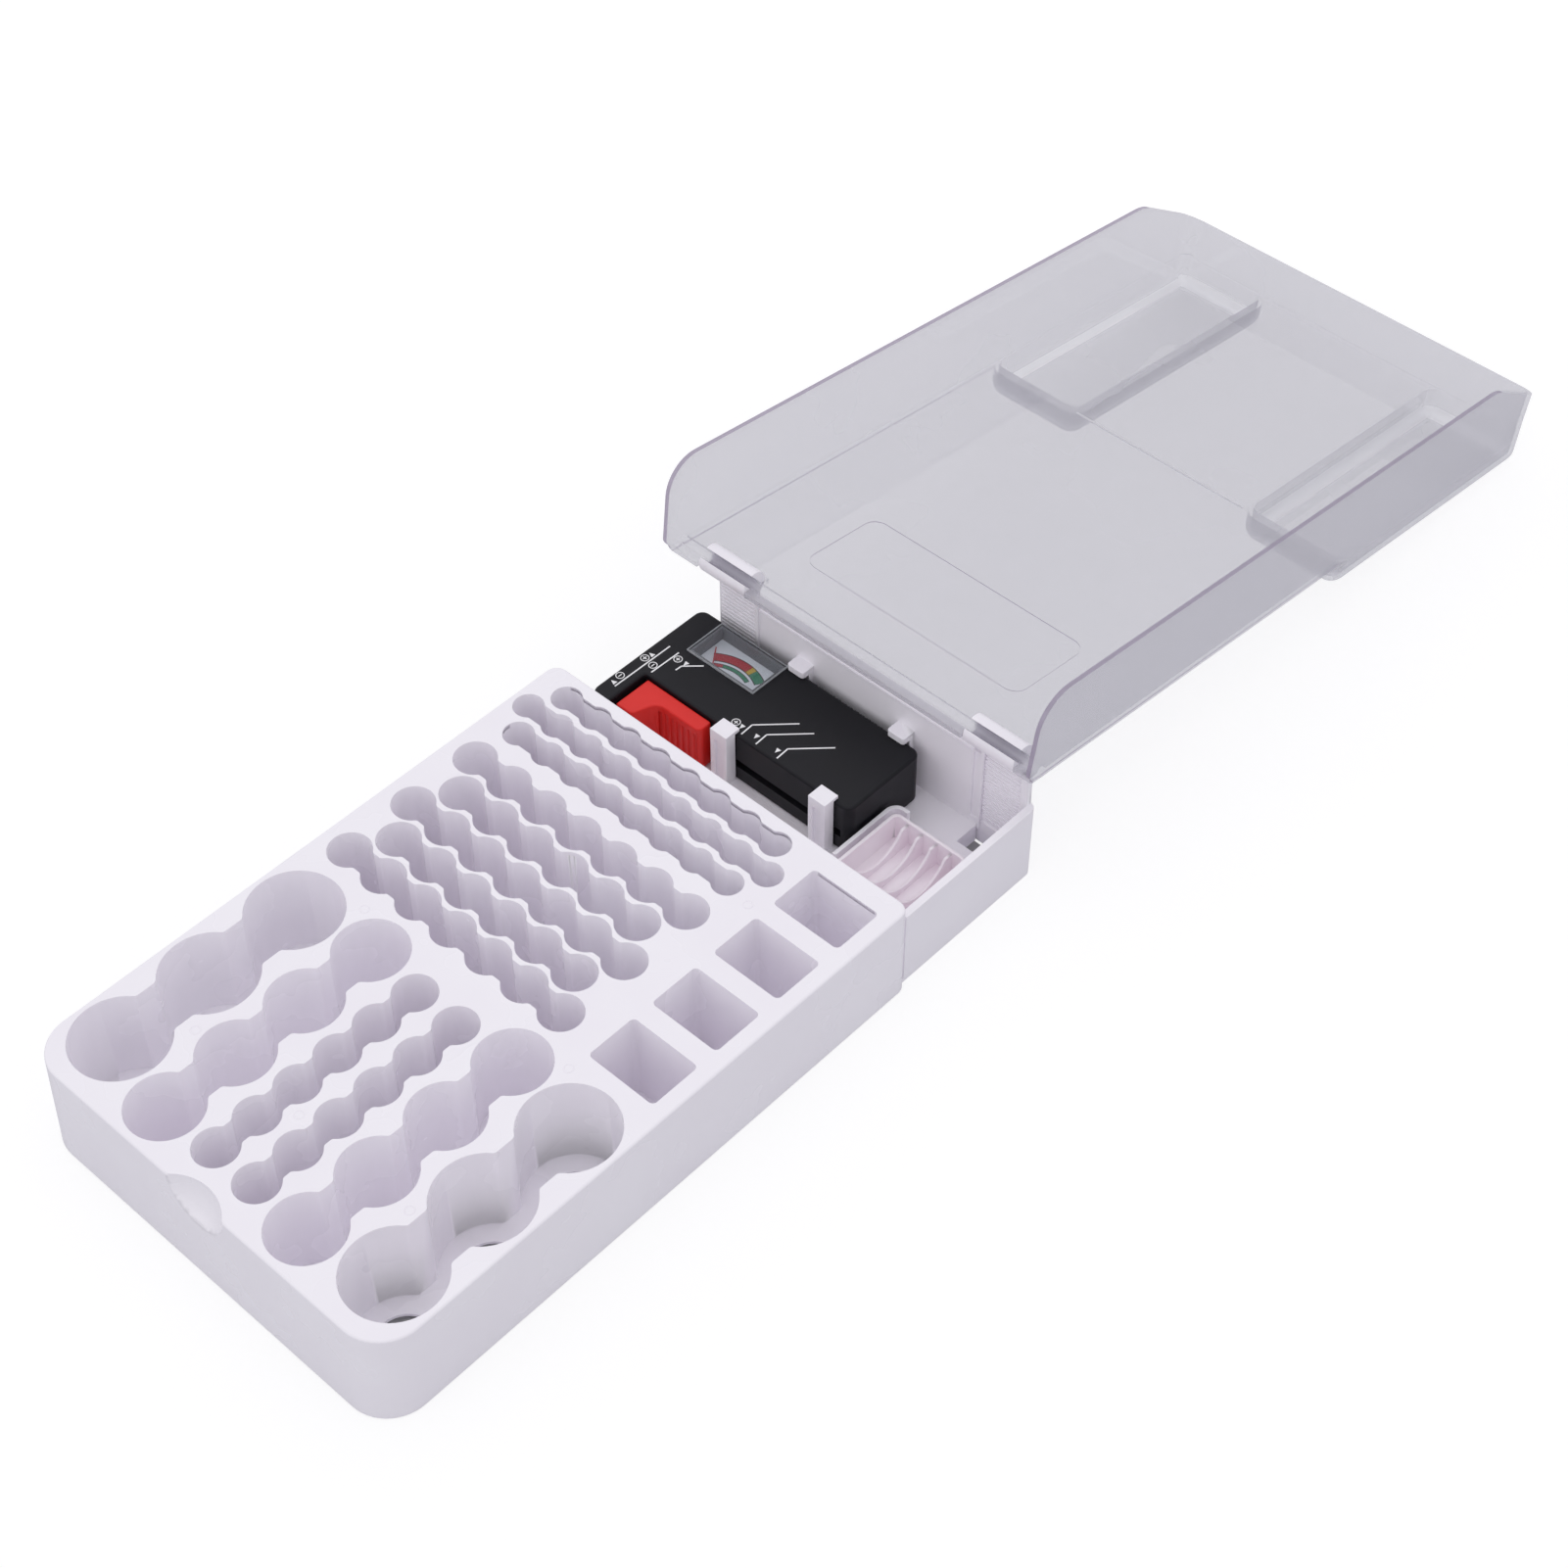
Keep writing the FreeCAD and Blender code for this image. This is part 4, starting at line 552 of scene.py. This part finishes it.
def lid_place(point):
    """How far a point lies from the hinge, below the lid's inner face and from the middle, in millimetres."""
    from_hinge = point - HINGE
    return from_hinge.dot(LID_OUT) / MM, -from_hinge.dot(LID_UP) / MM, abs(point.x) / MM


def lid_edge(edge):
    """Wide bends where the plate drops into its pockets, and just broken corners elsewhere."""
    u, w, x = lid_place((edge.verts[0].co + edge.verts[1].co) / 2)
    in_plate = abs(w) < 0.05 and x < LID_SIDE - LID_RIM
    if corner_edge(edge) and in_plate and POCKETS_FROM < u < POCKETS_TO:
        return 1.0
    return LID_BROKEN_EDGE * corner_edge(edge)


def lid_face(face):
    """1 for the lid's thin faces, its rim and the step round the label, which take the painted shade; 2 for the
    bends of its pockets, which take the painted highlight.
    """
    u, w, x = lid_place(face.calc_center_median())
    upward = face.normal.dot(LID_UP)
    side_rim = x > LID_SIDE - LID_RIM and abs(face.normal.x) < 0.2
    front_rim = upward > 0.95 and -19.5 < w < -17.0 and u > 300
    label_step = x < 58 and 24 < u < 69 and abs(upward) < 0.3 and 0 < w < 0.4
    if side_rim or front_rim or label_step:
        return 1
    at_pocket = POCKETS_FROM < u < POCKETS_TO and x < LID_SIDE - 4.0 and w > -8
    return 2 if at_pocket and 0.2 < abs(upward) < 0.97 else 0


def window_face(face):
    """1 for the window's edges, which take the painted highlight."""
    return 1 if abs(face.normal.z) < 0.8 else 0


# ---- build ---------------------------------------------------------------------------------
def build():
    """Each part of the case with its finish, then the details that ride on it."""
    dressed_node("battery_tray", TRAY_PLASTIC, 0.45, top_edge)
    for node in ("d_cell_wells", "c_cell_wells", "aa_cell_wells", "aa_cross_wells", "aaa_cell_wells",
                 "block_cell_wells"):
        dressed_node(node, TRAY_PLASTIC)
    dressed_node("base", BASE_PLASTIC, 0.3)
    dressed_node("lid", CLEAR_LID, LID_BEND, lid_edge, others=(LID_EDGE_PAINTED_SHADE, LID_PAINTED_HIGHLIGHT), sort_face=lid_face)
    # A thin bar of the painted highlight across the plate, where its pockets start.
    bars("lid_step_painted_highlight", LID_PAINTED_HIGHLIGHT, "clear_cover", 1, LOBE_START * LID_OUT * MM + HINGE,
         (0, 0, 0), (85.0 * MM, 1.0 * MM, 0.4 * MM))
    dressed_node("flat_cell_holder", HOLDER_PLASTIC, 0.25)
    dressed_node("tester_top_shell", BLACK_PLASTIC, 0.2)
    dressed_node("tester_bottom_shell", BLACK_PLASTIC, 0.2)
    dressed_node("tester_slider", RED_PLASTIC, 0.3)
    dressed_node("meter_window", CLEAR_WINDOW, others=(WINDOW_EDGE_PAINTED_HIGHLIGHT,), sort_face=window_face)
    for node, finish in (("meter_housing", METER_PLASTIC), ("dial_plate", DIAL_CARD), ("meter_magnet", MAGNET),
                         ("moving_coil", COPPER), ("meter_bridge", BRASS), ("meter_needle", NEEDLE_PAINT),
                         ("hair_spring", BRASS), ("slider_contact", NICKEL), ("arm_contact", NICKEL),
                         ("block_cell_contacts", NICKEL), ("rail_strip", NICKEL), ("load_resistors", RESISTOR),
                         ("terminal_board", BOARD), ("tester_screws", STEEL)):
        repaint(node, finish)
    bay_details()
    ejector_marks()
    grip_ridges()
    tester_marks()
    meter_face()


# The floor glows for the camera, but not under the case, where the holes would show as white.
FLOOR_HALF, FLOOR_GLOW = 6.0, 0.72
UNLIT_SIDE, UNLIT_FRONT, UNLIT_BACK = 80.0, 7.0, CASE_LENGTH - 3.0      # within its round front corners
SKY_LIGHT, SKY_SEEN = 0.84, 1.06


def make_stage():
    """White sweep under and behind the case, which keeps only faint shadows."""
    far = FLOOR_HALF
    mesh = bpy.data.meshes.new("floor")
    mesh.from_pydata([(-far, -far, 0), (far, -far, 0), (far, far, 0), (-far, far, 0)], [], [(0, 1, 2, 3)])
    made, tree = material("floor_white")
    coords = add(tree, "ShaderNodeTexCoord")
    paper = add(tree, "ShaderNodeTexNoise", {"Vector": coords.outputs["Object"], "Scale": 4.0})
    tone = add(tree, "ShaderNodeMapRange", {"Value": paper.outputs["Fac"], "To Min": 0.9, "To Max": 1.0})
    seen = add(tree, "ShaderNodeBsdfDiffuse", {"Color": linear("#A9A9A9"),
                                               "Roughness": tone.outputs["Result"]})
    centre = place(0, (UNLIT_FRONT + UNLIT_BACK) / 2, 0)
    moved = add(tree, "ShaderNodeVectorMath", {0: coords.outputs["Object"], 1: centre}, operation="SUBTRACT")
    unlit = (UNLIT_SIDE * MM, (UNLIT_BACK - UNLIT_FRONT) / 2 * MM, 1.0)
    share = add(tree, "ShaderNodeVectorMath", {0: moved.outputs[0], 1: unlit}, operation="DIVIDE")
    apart = add(tree, "ShaderNodeSeparateXYZ", {0: share.outputs[0]})
    across = add(tree, "ShaderNodeMath", {0: apart.outputs[0]}, operation="ABSOLUTE")
    along = add(tree, "ShaderNodeMath", {0: apart.outputs[1]}, operation="ABSOLUTE")
    farther = add(tree, "ShaderNodeMath", {0: across.outputs[0], 1: along.outputs[0]}, operation="MAXIMUM")
    open_floor = add(tree, "ShaderNodeMath", {0: farther.outputs[0], 1: 1.0}, operation="GREATER_THAN")
    strength = add(tree, "ShaderNodeMath", {0: open_floor.outputs[0], 1: FLOOR_GLOW}, operation="MULTIPLY")
    glow = add(tree, "ShaderNodeEmission", {"Color": linear("#FFFFFF"), "Strength": strength.outputs[0]})
    bright = add(tree, "ShaderNodeAddShader", {0: seen.outputs[0], 1: glow.outputs[0]})
    bounce = add(tree, "ShaderNodeBsdfDiffuse", {"Color": linear("#D2D2D6")})
    path = add(tree, "ShaderNodeLightPath")
    shader = add(tree, "ShaderNodeMixShader", {"Fac": path.outputs["Is Camera Ray"], 1: bounce.outputs[0],
                                               2: bright.outputs[0]})
    finish_material(tree, shader)
    mesh.materials.append(made)
    floor = bpy.data.objects.new("floor", mesh)
    bpy.context.scene.collection.objects.link(floor)


def make_world():
    """Even studio light, and a brighter white for what the camera sees, sees through or sees mirrored."""
    world = bpy.data.worlds.new("studio")
    bpy.context.scene.world = world
    world.use_nodes = True
    tree = world.node_tree
    tree.nodes.clear()
    path = add(tree, "ShaderNodeLightPath")
    seen = add(tree, "ShaderNodeMath", {0: path.outputs["Is Camera Ray"],
                                        1: path.outputs["Is Transmission Ray"]}, operation="MAXIMUM")
    seen_or_mirrored = add(tree, "ShaderNodeMath", {0: seen.outputs[0], 1: path.outputs["Is Glossy Ray"]},
                           operation="MAXIMUM")
    strength = add(tree, "ShaderNodeMapRange", {"Value": seen_or_mirrored.outputs[0], "To Min": SKY_LIGHT,
                                                "To Max": SKY_SEEN})
    sky = add(tree, "ShaderNodeBackground", {"Color": linear("#FBFAFF"),
                                             "Strength": strength.outputs["Result"]})
    add(tree, "ShaderNodeOutputWorld", {"Surface": sky.outputs[0]})


bpy.context.scene.view_settings.view_transform = "Standard"
bpy.context.scene.cycles.max_bounces = 16
bpy.context.scene.cycles.diffuse_bounces = 12       # the deep white wells are lit mostly by their own walls
make_camera()
make_world()
make_stage()
area_light("overhead", (-0.15, 0.1, 1.5), (0, 0, 0), 1.6, 2)
area_light("front", (-0.6, -1.6, 0.7), (0, 0, 0.02), 1.0, 1)
build()
